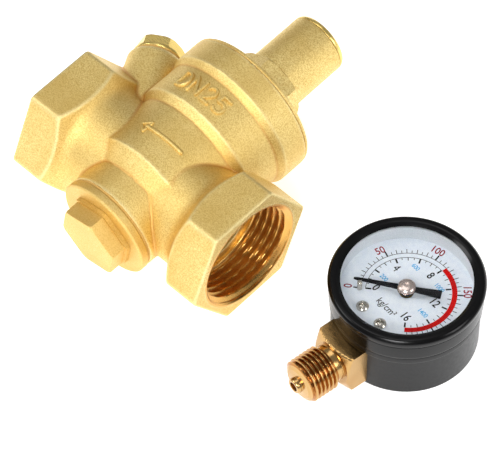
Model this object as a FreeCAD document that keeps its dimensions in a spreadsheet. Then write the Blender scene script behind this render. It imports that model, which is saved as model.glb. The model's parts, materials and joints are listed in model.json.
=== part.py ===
"""Brass pressure reducing valve with its own pressure gauge laid beside it.

Frame: origin at the middle of the inlet's threaded wall, +X out of the inlet along the flow axis,
+Z up.
The valve parts are drawn in the valve's own axes (X flow, Y bonnet, Z towards the lettering side,
origin where the axes cross), and the gauge parts in the gauge's (Z through the dial, stem along
-Y, origin on its back). Two placements then lay both on one table top.
"""
import FreeCAD, Part
import math
import os

import Sketcher
from FreeCAD import Placement, Rotation, Vector

# Driving dimensions, millimetres and degrees.
SIZES = {
    # flow ends
    "face_to_face": 74.0, "end_flats": 38.0, "end_corner_len": 11.3, "end_cone_len": 3.9,
    "neck_r": 16.0, "thread_minor_r": 15.15, "mouth_r": 16.85, "thread_depth": 13.5,
    "passage_r": 13.0, "passage_end": 13.4,
    # cast barrel along the bonnet axis
    "boss_r": 15.5, "boss_low": -17.8, "boss_high": -9.5, "barrel_low": -4.5, "barrel_r": 19.7,
    "barrel_high": 13.0, "band_low": 15.8, "band_r": 21.3, "band_high": 27.0, "rim_low": 29.5,
    "rim_r": 22.7, "rim_high": 37.2,
    # cavities
    "chamber_r": 12.0, "web_half": 1.7, "seat_hole_r": 9.65, "cylinder_low": 14.0,
    "cylinder_r": 15.5, "bonnet_bore_low": 27.5, "bonnet_bore_r": 19.0,
    # gauge port
    "port_offset": 13.3, "port_tilt": 30.0, "port_face": 34.3, "port_r": 8.7, "port_rim_r": 7.7,
    "port_bore_r": 5.72, "port_bore_depth": 10.0, "port_way_r": 3.0, "port_way_end": 11.0,
    # seat and moving set
    "seat_out_r": 9.6, "seat_in_r": 7.5, "seat_low": -2.7, "stem_r": 3.0, "stem_low": -10.0,
    "stem_high": 23.4, "stem_neck_r": 2.5, "collar_r": 4.6, "collar_low": 12.2,
    "piston_low": 14.3, "piston_high": 21.5, "piston_r": 15.4, "piston_groove_y": 17.9,
    "piston_ring_r": 1.35, "spring_seat": 19.0, "spring_recess_r": 7.4,
    "holder_r": 9.4, "holder_low": -10.5, "holder_high": -5.9, "disc_r": 8.9, "disc_low": -8.4,
    "disc_high": -5.8, "guide_r": 5.9, "guide_low": -19.0, "guide_groove_y": -14.6,
    "guide_ring_r": 0.9, "retainer_r": 6.0, "retainer_high": -4.6, "stem_nut_flats": 7.4,
    # bottom plug
    "plug_flange_r": 15.56, "plug_low": -27.3, "plug_flange_low": -21.2,
    "plug_flange_high": -18.3, "plug_thread_r": 11.9, "plug_top": -11.6, "plug_flats": 19.0,
    "plug_guide_r": 5.98, "plug_guide_low": -22.4,
    # bonnet, spring and adjuster
    "flange_r": 22.6, "flange_low": 37.3, "flange_high": 38.45, "bonnet_cone_high": 40.4,
    "bonnet_cone_r": 13.5, "bonnet_flats": 20.0, "bonnet_hex_high": 47.3, "tube_r": 9.45,
    "tube_high": 65.5, "tube_bore_r": 7.65, "bonnet_thread_r": 18.9, "bonnet_low": 29.4,
    "bonnet_room_r": 14.5, "spring_wire_r": 1.15, "spring_mean_r": 5.85, "spring_turns": 8.0,
    "plate_low": 54.4, "plate_high": 56.0, "plate_r": 7.2, "adjuster_high": 61.0,
    "adjuster_r": 7.55, "adjuster_socket": 6.0, "end_high": 67.0, "end_r": 9.24,
    "end_hole_r": 5.0, "end_spigot_low": 63.4,
    # gauge port plug
    "port_washer": 0.7, "port_cap": 1.3, "port_hex_len": 3.2, "port_hex_flats": 13.0,
    # how the valve lies on the table
    "lean": 5.06,
    # pressure gauge
    "case_r": 20.74, "case_wall": 1.0, "case_high": 23.7, "case_floor": 1.2,
    "bead_low": 15.7, "bead_r": 21.15, "bead_high": 17.9, "bezel_r": 21.8, "bezel_low": 18.0,
    "bezel_high": 26.1, "bezel_lip": 0.8, "window_r": 18.2,
    "lens_r": 20.6, "lens_low": 24.1, "dial_r": 19.5, "dial_low": 18.7, "dial_high": 19.3,
    "spacer_in_r": 18.6, "stem_height": 9.5, "block_flats": 14.0, "block_in": 19.0,
    "block_out": 26.3, "relief_r": 5.4, "stem_thread_r": 6.5785, "stem_thread_in": 28.6,
    "stem_thread_out": 37.5, "nozzle_r": 2.25, "nozzle_out": 39.6, "stem_bore_r": 1.4,
    "socket_half": 6.2, "socket_end": 8.5, "socket_low": 3.0, "socket_high": 11.0, "plate_t": 0.8,
    "pillar_len": 4.0, "pillar_r": 1.2, "arbor_r": 0.75, "pinion_r": 1.5, "sector_r": 9.0,
    "sector_x": 4.5, "sector_y": -9.487, "tail_len": 4.5, "tail_angle": -22.0,
    "link_len": 8.0, "tube_mid_r": 16.9, "tube_half_t": 0.8, "tube_half_h": 2.9,
    "tube_height": 7.0,
    "pointer_low": 21.0, "pointer_t": 0.4, "pointer_reach": 14.8, "pointer_tail": 9.7,
    "pointer_angle": 218.1, "hub_r": 2.4, "hub_high": 22.9, "pin_ring": 12.9, "pin_angle": 225.4,
    "pin_r": 0.7, "pin_high": 22.4, "dial_screw_x": 3.75, "dial_screw_y": -12.5,
    "gauge_x": 76.26, "gauge_y": 21.4, "gauge_turn": -7.4,
}

GAP = 0.05          # drawn clearance between parts that touch

doc = FreeCAD.newDocument("pressure_reducing_valve")
sheet = doc.addObject("Spreadsheet::Sheet", "Sizes")


class Size:
    """A number together with its spreadsheet expression, kept in step through arithmetic."""

    def __init__(self, value, text):
        self.value = float(value)
        self.text = text

    def _with(self, other, sign, number):
        right = other if isinstance(other, Size) else Size(other, repr(float(other)))
        return Size(number(self.value, right.value), f"({self.text} {sign} {right.text})")

    def __add__(self, other):
        return self._with(other, "+", lambda a, b: a + b)

    def __sub__(self, other):
        return self._with(other, "-", lambda a, b: a - b)

    def __mul__(self, other):
        return self._with(other, "*", lambda a, b: a * b)

    def __truediv__(self, other):
        return self._with(other, "/", lambda a, b: a / b)

    def __neg__(self):
        return self * -1.0


class Sizes:
    """Spreadsheet cells as attributes, so that size.neck_r reads like a dimension."""


def number(value):
    """A plain number as a Size."""
    return value if isinstance(value, Size) else Size(value, repr(float(value)))


size = Sizes()
for row, (alias, plain) in enumerate(SIZES.items(), start=1):
    sheet.set(f"A{row}", alias)
    sheet.set(f"B{row}", str(plain))
    sheet.setAlias(f"B{row}", alias)
    setattr(size, alias, Size(plain, f"Sizes.{alias}"))
doc.recompute()

ALONG_Y = Rotation(Vector(1, 0, 0), -90)      # turns +Z to +Y
ALONG_X = Rotation(Vector(0, 1, 0), 90)       # turns +Z to +X
NODES = []


# ---------------------------------------------------------------- drawing tools

def bind(feature, prop, value):
    """Ties a property to its size."""
    feature.setExpression(prop, number(value).text)
    return feature


def origin_plane(body, role):
    return next(f for f in body.Origin.OriginFeatures if f.Role == role)


def outline(body, name, role, points):
    """A closed outline of straight lines, each corner tied to its sizes."""
    sketch = body.newObject("Sketcher::SketchObject", name)
    sketch.AttachmentSupport = [(origin_plane(body, role), "")]
    sketch.MapMode = "FlatFace"
    corners = [(number(a), number(b)) for a, b in points]
    count = len(corners)
    for i in range(count):
        here = Vector(corners[i][0].value, corners[i][1].value, 0)
        there = Vector(corners[(i + 1) % count][0].value, corners[(i + 1) % count][1].value, 0)
        sketch.addGeometry(Part.LineSegment(here, there))
    for i in range(count):
        sketch.addConstraint(Sketcher.Constraint("Coincident", i, 2, (i + 1) % count, 1))
    for i, (a, b) in enumerate(corners):
        for kind, value, axis in (("DistanceX", a, "x"), ("DistanceY", b, "y")):
            at = sketch.addConstraint(Sketcher.Constraint(kind, -1, 1, i, 1, value.value))
            sketch.renameConstraint(at, f"{axis}{i}")
            sketch.setExpression(f"Constraints.{axis}{i}", value.text)
    return sketch


def turned(name, points, axis="Y"):
    """A turned piece: the outline (station along the axis, radius) revolved about that axis."""
    body = doc.addObject("PartDesign::Body", name)
    role, flip, line = {"X": ("XY_Plane", False, "H_Axis"), "Y": ("XY_Plane", True, "V_Axis"),
                        "Z": ("XZ_Plane", True, "V_Axis")}[axis]
    pairs = [(r, a) if flip else (a, r) for a, r in points]
    sketch = outline(body, f"{name}_outline", role, pairs)
    spin = body.newObject("PartDesign::Revolution", f"{name}_turned")
    spin.Profile = sketch
    spin.ReferenceAxis = (sketch, [line])
    spin.Angle = 360.0
    sketch.Visibility = False
    return body


def rod(name, radius, low, high, turn=Rotation(), centre=(0.0, 0.0, 0.0)):
    """A plain cylinder between two stations along its own axis."""
    piece = doc.addObject("Part::Cylinder", name)
    bind(piece, "Radius", radius)
    bind(piece, "Height", number(high) - number(low))
    ahead = turn.multVec(Vector(0, 0, 1))
    for key, c in zip("xyz", centre):
        step = getattr(ahead, key)
        bind(piece, f"Placement.Base.{key}", number(c) + number(low) * step)
    bind_turn(piece, turn)
    return piece


def bind_turn(piece, turn):
    piece.Placement = Placement(piece.Placement.Base, turn)
    return piece


def block(name, low, high):
    """A rectangular block between two corners."""
    piece = doc.addObject("Part::Box", name)
    for prop, a, b in zip(("Length", "Width", "Height"), low, high):
        bind(piece, prop, number(b) - number(a))
    for key, a in zip("xyz", low):
        bind(piece, f"Placement.Base.{key}", a)
    return piece


def hexagon(name, flats, low, high, turn=Rotation(), twist=0.0, centre=(0.0, 0.0, 0.0)):
    """A hexagonal bar, twist giving the angle of its first corner."""
    piece = doc.addObject("Part::Prism", name)
    piece.Polygon = 6
    bind(piece, "Circumradius", number(flats) / math.sqrt(3.0))
    bind(piece, "Height", number(high) - number(low))
    ahead = turn.multVec(Vector(0, 0, 1))
    for key, c in zip("xyz", centre):
        bind(piece, f"Placement.Base.{key}", number(c) + number(low) * getattr(ahead, key))
    return bind_turn(piece, turn.multiply(Rotation(Vector(0, 0, 1), twist)))


def joined(name, *pieces):
    whole = doc.addObject("Part::MultiFuse", name)
    whole.Shapes = list(pieces)
    return whole


def shared(name, *pieces):
    whole = doc.addObject("Part::MultiCommon", name)
    whole.Shapes = list(pieces)
    return whole


def cut(name, base, tool):
    whole = doc.addObject("Part::Cut", name)
    whole.Base = base
    whole.Tool = tool
    return whole


def made(name, shape):
    """A piece whose shape is worked out in code from the sizes."""
    piece = doc.addObject("Part::Feature", name)
    piece.Shape = shape
    return piece


def node(piece, name, placement):
    """Names a finished sub-part and lays it in the row's frame."""
    piece.Label = name
    piece.Placement = placement
    NODES.append(piece)
    return piece


def ring(name, centre_r, section_r):
    """A round-section ring, such as an O-ring, about its own Z axis."""
    piece = doc.addObject("Part::Torus", name)
    bind(piece, "Radius1", centre_r)
    bind(piece, "Radius2", section_r)
    return piece


def on_bonnet_axis(place, station):
    """Placement of a piece drawn about its own Z at a station along the bonnet axis."""
    return place.multiply(Placement(Vector(0, number(station).value, 0), ALONG_Y))


# ---------------------------------------------------------------- valve body

def half_length():
    return size.face_to_face / 2.0


def end_hexagon(side):
    """One flow end: a hexagon whose back corners are turned off by the cone into the neck."""
    face = half_length() * side
    back = (half_length() - size.end_corner_len) * side
    root = (half_length() - size.end_corner_len - size.end_cone_len) * side
    low, high = (root, face) if side > 0 else (face, root)
    label = "inlet" if side > 0 else "outlet"
    bar = hexagon(f"{label}_bar", size.end_flats, low, high, ALONG_X, 90.0)
    corner_r = size.end_flats / math.sqrt(3.0) + 0.5
    cone = turned(f"{label}_cone", [(root, 0.0), (face, 0.0), (face, corner_r), (back, corner_r),
                                    (root, size.neck_r)], "X")
    return shared(f"{label}_hexagon", bar, cone)


def body_outside():
    """Cast outside: barrel, both hexagon ends on their necks, and the gauge port boss."""
    barrel = turned("barrel", [
        (size.boss_low, 0.0), (size.boss_low, size.boss_r), (size.boss_high, size.boss_r),
        (size.barrel_low, size.barrel_r), (size.barrel_high, size.barrel_r),
        (size.band_low, size.band_r), (size.band_high, size.band_r), (size.rim_low, size.rim_r),
        (size.rim_high, size.rim_r), (size.rim_high, 0.0)])
    reach = half_length() - size.end_corner_len - size.end_cone_len
    neck = rod("neck", size.neck_r, -reach, reach, ALONG_X)
    boss = turned("port_boss", [
        (12.0, 0.0), (12.0, size.port_r), (size.port_face - 2.0, size.port_r),
        (size.port_face, size.port_rim_r), (size.port_face, 0.0)])
    boss.Placement = port_placement()
    return joined("cast_outside", barrel, neck, boss, end_hexagon(1), end_hexagon(-1))


def port_placement():
    """The gauge port's axis starts on the flow axis and leans from the bonnet to the outlet."""
    return Placement(Vector(-size.port_offset.value, 0, 0),
                     Rotation(Vector(0, 0, 1), size.port_tilt.value))


def flow_bore(side):
    """Threaded mouth with its chamfer, and the plain passage behind it."""
    face = half_length() * side
    lip = size.mouth_r - size.thread_minor_r
    label = "inlet" if side > 0 else "outlet"
    return turned(f"{label}_bore", [
        (face, 0.0), (face, size.mouth_r), (face - lip * side, size.thread_minor_r),
        (face - size.thread_depth * side, size.thread_minor_r),
        (face - size.thread_depth * side, size.passage_r),
        (size.passage_end * side, size.passage_r), (size.passage_end * side, 0.0)], "X")


def flow_way(side):
    """Half-round way from a flow end into the lower chamber (inlet) or the upper one (outlet)."""
    label = "inlet" if side > 0 else "outlet"
    way = rod(f"{label}_way", size.passage_r - 0.4, 0.0, size.passage_end + 0.5,
              ALONG_X if side > 0 else Rotation(Vector(0, 1, 0), -90))
    deep = size.passage_r + 1.0
    if side > 0:
        keep = block("inlet_half", (0.0, -deep, -deep), (size.passage_end + 0.5, -size.web_half, deep))
    else:
        keep = block("outlet_half", (-(size.passage_end + 0.5), size.web_half, -deep),
                     (0.0, deep, deep))
    return shared(f"{label}_half_way", way, keep)


def valve_body(place):
    chamber_low = rod("lower_chamber", size.chamber_r, size.boss_low, -size.web_half, ALONG_Y)
    chamber_high = rod("upper_chamber", size.chamber_r, size.web_half, size.cylinder_low, ALONG_Y)
    cylinder = rod("piston_cylinder", size.cylinder_r, size.cylinder_low, size.bonnet_bore_low,
                   ALONG_Y)
    mouth = rod("bonnet_mouth", size.bonnet_bore_r, size.bonnet_bore_low, size.rim_high, ALONG_Y)
    seat_hole = rod("seat_hole", size.seat_hole_r, -size.web_half, size.web_half, ALONG_Y)
    port = turned("port_bore", [
        (size.port_way_end, 0.0), (size.port_way_end, size.port_way_r),
        (size.port_face - size.port_bore_depth, size.port_way_r),
        (size.port_face - size.port_bore_depth, size.port_bore_r),
        (size.port_face, size.port_bore_r), (size.port_face, 0.0)])
    port.Placement = port_placement()
    hollow = joined("valve_hollow", chamber_low, chamber_high, cylinder, mouth, seat_hole, port,
                    flow_bore(1), flow_bore(-1), flow_way(1), flow_way(-1))
    arrow = flow_arrow()
    solid = cut("valve_casting", joined("cast_with_arrow", body_outside(), arrow), hollow)
    node(solid, "valve_body", place)


def flow_arrow():
    """Raised arrow on the barrel, pointing along the flow to the outlet."""
    shaft = block("arrow_shaft", (-3.5, 2.6, 17.0), (8.5, 4.2, size.barrel_r + 0.7))
    points = [(-3.5, 0.4), (-3.5, 6.4), (-8.0, 3.4)]
    body = doc.addObject("PartDesign::Body", "arrow_head")
    sketch = outline(body, "arrow_head_outline", "XY_Plane", points)
    pad = body.newObject("PartDesign::Pad", "arrow_head_pad")
    pad.Profile = sketch
    bind(pad, "Length", size.barrel_r + 0.7)
    over = rod("arrow_top", size.barrel_r + 0.6, size.barrel_low, size.barrel_high, ALONG_Y)
    return shared("raised_arrow", joined("arrow_blank", shaft, body), over)


# ---------------------------------------------------------------- seat and moving set

def seat_ring(place):
    """Stainless seat pressed into the web, its lower lip facing the disc."""
    node(turned("seat", [
        (size.seat_low, size.seat_in_r), (size.seat_low, size.seat_in_r + 0.6),
        (-size.web_half - 0.05, size.seat_out_r), (size.web_half, size.seat_out_r),
        (size.web_half, size.seat_in_r)]), "seat_ring", place)


def valve_stem(place):
    """Spindle with the collar that carries the piston and a thinner threaded top."""
    node(turned("spindle", [
        (size.stem_low, 0.0), (size.stem_low, size.stem_r), (size.collar_low, size.stem_r),
        (size.collar_low, size.collar_r), (size.piston_low, size.collar_r),
        (size.piston_low, size.stem_neck_r), (size.stem_high, size.stem_neck_r),
        (size.stem_high, 0.0)]), "valve_stem", place)


def disc_holder(place):
    """Cup for the rubber disc with a long guide that slides in the bottom plug."""
    groove = size.guide_ring_r + GAP
    bottom = size.plug_guide_r - size.guide_ring_r * 2.0 - 0.06
    node(turned("holder", [
        (size.guide_low, 0.0), (size.guide_low, size.guide_r),
        (size.guide_groove_y - groove, size.guide_r),
        (size.guide_groove_y - groove, bottom), (size.guide_groove_y + groove, bottom),
        (size.guide_groove_y + groove, size.guide_r),
        (size.holder_low, size.guide_r), (size.holder_low, size.holder_r),
        (size.holder_high, size.holder_r), (size.holder_high, size.disc_r + GAP),
        (size.disc_low - GAP, size.disc_r + GAP), (size.disc_low - GAP, size.stem_r + GAP),
        (size.stem_low - GAP, size.stem_r + GAP), (size.stem_low - GAP, 0.0)]),
        "disc_holder", place)


def seat_disc(place):
    node(turned("disc", [
        (size.disc_low, size.stem_r + GAP), (size.disc_low, size.disc_r),
        (size.disc_high, size.disc_r), (size.disc_high, size.stem_r + GAP)]), "seat_disc", place)


def disc_retainer(place):
    """Washer that clamps the rubber disc in its holder."""
    node(turned("retainer", [
        (size.disc_high + 0.02, size.stem_r + GAP), (size.disc_high + 0.02, size.retainer_r),
        (size.retainer_high, size.retainer_r - 0.4), (size.retainer_high, size.stem_r + GAP)]),
        "disc_retainer", place)


def piston(place):
    groove = size.piston_ring_r + GAP
    bottom = size.cylinder_r - size.piston_ring_r * 2.0 - 0.08
    node(turned("piston_blank", [
        (size.piston_low + 0.02, size.stem_neck_r + GAP), (size.piston_low + 0.02, size.piston_r - 0.8),
        (size.piston_low + 0.8, size.piston_r), (size.piston_groove_y - groove, size.piston_r),
        (size.piston_groove_y - groove, bottom), (size.piston_groove_y + groove, bottom),
        (size.piston_groove_y + groove, size.piston_r), (size.piston_high, size.piston_r),
        (size.piston_high, size.spring_recess_r), (size.spring_seat, size.spring_recess_r),
        (size.spring_seat, size.stem_neck_r + GAP)]), "piston", place)


def stem_nut(place):
    """Nut that holds the piston on its spindle, inside the spring."""
    bar = hexagon("stem_nut_bar", size.stem_nut_flats, size.spring_seat + 0.02,
                  size.stem_high - 0.6, ALONG_Y)
    hole = rod("stem_nut_hole", size.stem_neck_r + GAP, size.spring_seat, size.stem_high, ALONG_Y)
    node(cut("stem_nut_solid", bar, hole), "stem_nut", place)


def moving_rings(place):
    """O-rings of the piston and of the holder's guide."""
    node(ring("piston_ring", size.cylinder_r - size.piston_ring_r - 0.03, size.piston_ring_r),
         "piston_o_ring", on_bonnet_axis(place, size.piston_groove_y))
    node(ring("guide_ring", size.plug_guide_r - size.guide_ring_r - 0.02, size.guide_ring_r - 0.02),
         "guide_o_ring", on_bonnet_axis(place, size.guide_groove_y))


# ---------------------------------------------------------------- bottom plug

def bottom_plug(place):
    """Hexagon-headed plug with a turned flange, a threaded shank and the guide bore."""
    bar = hexagon("plug_bar", size.plug_flats, size.plug_low, size.plug_flange_low + 0.1, ALONG_Y,
                  46.0)
    corner = size.plug_flats / math.sqrt(3.0)
    crown = turned("plug_crown", [
        (size.plug_low, 0.0), (size.plug_low, corner - 1.3), (size.plug_low + 0.9, corner + 0.3),
        (size.plug_flange_low + 0.1, corner + 0.3), (size.plug_flange_low + 0.1, 0.0)])
    shank = turned("plug_shank", [
        (size.plug_flange_low, 0.0), (size.plug_flange_low, size.plug_flange_r - 0.35),
        (size.plug_flange_low + 0.35, size.plug_flange_r),
        (size.plug_flange_high - 0.35, size.plug_flange_r),
        (size.plug_flange_high, size.plug_flange_r - 0.35),
        (size.plug_flange_high, size.plug_thread_r), (size.plug_top, size.plug_thread_r),
        (size.plug_top, 0.0)])
    guide = rod("plug_guide", size.plug_guide_r, size.plug_guide_low, size.plug_top, ALONG_Y)
    solid = cut("plug_solid", joined("plug_blank", shared("plug_head", bar, crown), shank), guide)
    node(solid, "bottom_plug", place)


def bottom_plug_seal(place):
    """Flat fibre washer between the plug's flange and the boss."""
    node(turned("plug_washer", [
        (size.plug_flange_high, size.plug_thread_r + GAP), (size.plug_flange_high, size.boss_r - 0.3),
        (size.boss_low, size.boss_r - 0.3), (size.boss_low, size.plug_thread_r + GAP)]),
        "bottom_plug_seal", place)


# ---------------------------------------------------------------- bonnet and adjuster

def bonnet(place):
    """Screwed cover: bevelled flange, hexagon, and the slim tube that houses the spring."""
    corner = size.bonnet_flats / math.sqrt(3.0)
    flange = turned("bonnet_flange", [
        (size.bonnet_low, 0.0), (size.bonnet_low, size.bonnet_thread_r),
        (size.flange_low, size.bonnet_thread_r), (size.flange_low, size.flange_r),
        (size.flange_high - 0.55, size.flange_r), (size.flange_high, size.flange_r - 0.5),
        (size.bonnet_cone_high, size.bonnet_cone_r), (size.bonnet_cone_high, 0.0)])
    bar = hexagon("bonnet_bar", size.bonnet_flats, size.flange_high, size.bonnet_hex_high, ALONG_Y,
                  30.0)
    crown = turned("bonnet_crown", [
        (size.flange_high, 0.0), (size.flange_high, corner + 0.3),
        (size.bonnet_hex_high - 0.8, corner + 0.3), (size.bonnet_hex_high, corner - 1.2),
        (size.bonnet_hex_high, 0.0)])
    tube = rod("bonnet_tube", size.tube_r, size.bonnet_cone_high, size.tube_high, ALONG_Y)
    blank = joined("bonnet_blank", flange, shared("bonnet_hexagon", bar, crown), tube)
    bore = rod("bonnet_bore", size.tube_bore_r, size.bonnet_low, size.tube_high, ALONG_Y)
    room = rod("bonnet_room", size.bonnet_room_r, size.bonnet_low, size.flange_low, ALONG_Y)
    node(cut("bonnet_solid", blank, joined("bonnet_hollow", bore, room)), "bonnet", place)


def bonnet_seal(place):
    """Ring under the bonnet's flange."""
    node(turned("bonnet_washer", [
        (size.rim_high, size.bonnet_thread_r + GAP), (size.rim_high, size.rim_r - 0.25),
        (size.flange_low, size.rim_r - 0.25), (size.flange_low, size.bonnet_thread_r + GAP)]),
        "bonnet_seal", place)


def main_spring(place):
    """Compression spring with closed ends, wound between the piston and the upper plate."""
    wire = size.spring_wire_r.value
    mean = size.spring_mean_r.value
    low = size.spring_seat.value + wire + 0.02
    high = size.plate_low.value - wire - 0.02
    turns = size.spring_turns.value
    helix = Part.makeHelix((high - low) / turns, high - low, mean)
    profile = Part.Wire([Part.makeCircle(wire, Vector(mean, 0, 0), Vector(0, 1, 0))])
    coil = Part.Wire(helix.Edges).makePipeShell([profile], True, True)
    node(made("spring_coil", coil), "main_spring", on_bonnet_axis(place, low))


def upper_spring_plate(place):
    node(turned("spring_plate", [
        (size.plate_low - 1.6, 0.0), (size.plate_low - 1.6, size.spring_mean_r - 1.5),
        (size.plate_low, size.spring_mean_r - 1.3), (size.plate_low, size.plate_r),
        (size.plate_high, size.plate_r), (size.plate_high, 0.0)]), "upper_spring_plate", place)


def adjusting_screw(place):
    """Threaded disc with a hexagon socket, screwed inside the bonnet's tube."""
    disc = turned("adjuster_disc", [
        (size.plate_high + 0.02, 0.0), (size.plate_high + 0.02, size.adjuster_r - 0.5),
        (size.plate_high + 0.52, size.adjuster_r), (size.adjuster_high - 0.5, size.adjuster_r),
        (size.adjuster_high, size.adjuster_r - 0.5), (size.adjuster_high, 0.0)])
    socket = hexagon("adjuster_socket_bar", size.adjuster_socket, size.adjuster_high - 3.6,
                     size.adjuster_high, ALONG_Y)
    node(cut("adjuster_solid", disc, socket), "adjusting_screw", place)


def end_ring(place):
    """Ring screwed into the tube's end, which keeps the adjusting screw from backing out."""
    node(turned("tube_end", [
        (size.end_spigot_low, size.end_hole_r), (size.end_spigot_low, size.tube_bore_r - GAP),
        (size.tube_high + 0.02, size.tube_bore_r - GAP), (size.tube_high + 0.02, size.tube_r),
        (size.end_high - 0.6, size.tube_r), (size.end_high, size.end_r - 0.3),
        (size.end_high, size.end_hole_r)]), "end_ring", place)


def port_plug(place):
    """Hexagon-headed plug in the gauge port, on its sealing washer."""
    seat = size.port_face
    under = seat + size.port_washer
    head = under + size.port_cap
    top = head + size.port_hex_len
    corner = size.port_hex_flats / math.sqrt(3.0)
    turn = port_placement()
    washer = turned("port_washer_ring", [
        (seat, size.port_bore_r + GAP), (seat, size.port_rim_r), (under, size.port_rim_r),
        (under, size.port_bore_r + GAP)])
    node(washer, "gauge_port_seal", place.multiply(turn))
    shank = turned("port_plug_shank", [
        (seat - 7.5, 0.0), (seat - 7.5, size.port_bore_r - GAP), (under, size.port_bore_r - GAP),
        (under, size.port_rim_r - 0.2), (head - 0.3, size.port_rim_r - 0.2),
        (head, size.port_rim_r - 0.5), (head, 0.0)])
    bar = hexagon("port_plug_bar", size.port_hex_flats, head - 0.1, top, ALONG_Y, 0.0)
    crown = turned("port_plug_crown", [
        (head - 0.1, 0.0), (head - 0.1, corner + 0.3), (top - 0.6, corner + 0.3),
        (top, corner - 0.9), (top, 0.0)])
    node(joined("port_plug_solid", shank, shared("port_plug_head", bar, crown)),
         "gauge_port_plug", place.multiply(turn))


# ---------------------------------------------------------------- gauge housing

def gauge_case(place):
    """Pressed black cup with a square window for the stem's wrench block."""
    cup = turned("case_cup", [
        (0.0, 0.0), (0.0, size.case_r - 1.0), (1.0, size.case_r), (size.bead_low, size.case_r),
        (size.bead_low + 0.4, size.bead_r), (size.bead_high, size.bead_r),
        (size.bead_high, size.case_r), (size.case_high, size.case_r),
        (size.case_high, size.case_r - size.case_wall),
        (size.case_floor, size.case_r - size.case_wall), (size.case_floor, 0.0)], "Z")
    half = size.block_flats / 2.0 + GAP
    window = block("case_window", (-half, -size.case_r - 1.0, size.stem_height - half),
                   (half, -(size.case_r - size.case_wall - 3.0), size.stem_height + half))
    node(cut("case_solid", cup, window), "gauge_case", place)


def gauge_bezel(place):
    node(turned("bezel_ring", [
        (size.bezel_low, size.case_r + GAP), (size.bezel_low, size.bezel_r - 0.3),
        (size.bezel_low + 0.3, size.bezel_r), (size.bezel_high - 0.9, size.bezel_r),
        (size.bezel_high, size.bezel_r - 0.9), (size.bezel_high, size.window_r + 0.4),
        (size.bezel_high - size.bezel_lip, size.window_r),
        (size.bezel_high - size.bezel_lip, size.case_r + GAP)], "Z"), "gauge_bezel", place)


def gauge_lens(place):
    high = size.bezel_high - size.bezel_lip - 0.02
    node(turned("lens_disc", [(size.lens_low, 0.0), (size.lens_low, size.lens_r),
                              (high, size.lens_r), (high, 0.0)], "Z"), "gauge_lens", place)


def lens_gasket(place):
    """Rubber ring between the case's rim and the lens."""
    node(turned("lens_ring", [
        (size.case_high, size.case_r - size.case_wall), (size.case_high, size.case_r - 0.15),
        (size.lens_low, size.case_r - 0.15), (size.lens_low, size.case_r - size.case_wall)], "Z"),
        "lens_gasket", place)


def dial_spacer(place):
    """Pale ring that holds the dial down and shows as the wall inside the window."""
    wall = size.case_r - size.case_wall - GAP
    node(turned("spacer_ring", [
        (size.dial_high, size.spacer_in_r), (size.dial_high, wall),
        (size.lens_low - GAP, wall), (size.lens_low - GAP, size.spacer_in_r)], "Z"),
        "dial_spacer", place)


def gauge_dial(place):
    plate = rod("dial_plate", size.dial_r, size.dial_low, size.dial_high)
    holes = [rod("dial_centre_hole", 2.0, size.dial_low, size.dial_high)]
    for side in (-1, 1):
        holes.append(rod("dial_screw_hole", 0.85, size.dial_low, size.dial_high, Rotation(),
                         (size.dial_screw_x * side, size.dial_screw_y, 0.0)))
    x, y = on_ring(size.pin_ring, size.pin_angle)
    holes.append(rod("dial_pin_hole", size.pin_r + 0.03, size.dial_low, size.dial_high, Rotation(),
                     (x, y, 0.0)))
    node(cut("dial_solid", plate, joined("dial_holes", *holes)), "gauge_dial", place)


def on_ring(radius, degrees):
    """Plan position at an angle on a circle about the dial's centre."""
    turn = math.radians(number(degrees).value)
    return number(radius) * math.cos(turn), number(radius) * math.sin(turn)


def dial_posts(place):
    """Two threaded posts that stand on the socket and carry the dial."""
    posts = []
    for side in (-1, 1):
        centre = (size.dial_screw_x * side, size.dial_screw_y, 0.0)
        post = rod("dial_post_bar", 1.3, size.socket_high, size.dial_low, Rotation(), centre)
        hole = rod("dial_post_hole", 0.85, size.dial_low - 3.5, size.dial_low, Rotation(), centre)
        posts.append(cut("dial_post", post, hole))
    node(joined("dial_post_pair", *posts), "dial_posts", place)


def dial_screws(place):
    """Two pan-head screws through the dial."""
    screws = []
    for side in (-1, 1):
        screw = turned("dial_screw", [
            (size.dial_high - 3.4, 0.0), (size.dial_high - 3.4, 0.8), (size.dial_high, 0.8),
            (size.dial_high, 1.65), (size.dial_high + 0.7, 1.5), (size.dial_high + 1.15, 0.8),
            (size.dial_high + 1.15, 0.0)], "Z")
        for key, value in (("x", size.dial_screw_x * side), ("y", size.dial_screw_y)):
            bind(screw, f"Placement.Base.{key}", value)
        screws.append(screw)
    node(joined("dial_screw_pair", *screws), "dial_screws", place)


def stop_pin(place):
    """Pin pressed in the dial, against which the pointer rests at zero."""
    x, y = on_ring(size.pin_ring, size.pin_angle)
    at = Placement(Vector(x.value, y.value, 0), Rotation())
    node(turned("stop_pin_bar", [
        (size.dial_low - 0.8, 0.0), (size.dial_low - 0.8, size.pin_r),
        (size.pin_high - 0.2, size.pin_r), (size.pin_high, size.pin_r - 0.2),
        (size.pin_high, 0.0)], "Z"), "pointer_stop_pin", place.multiply(at))


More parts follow.
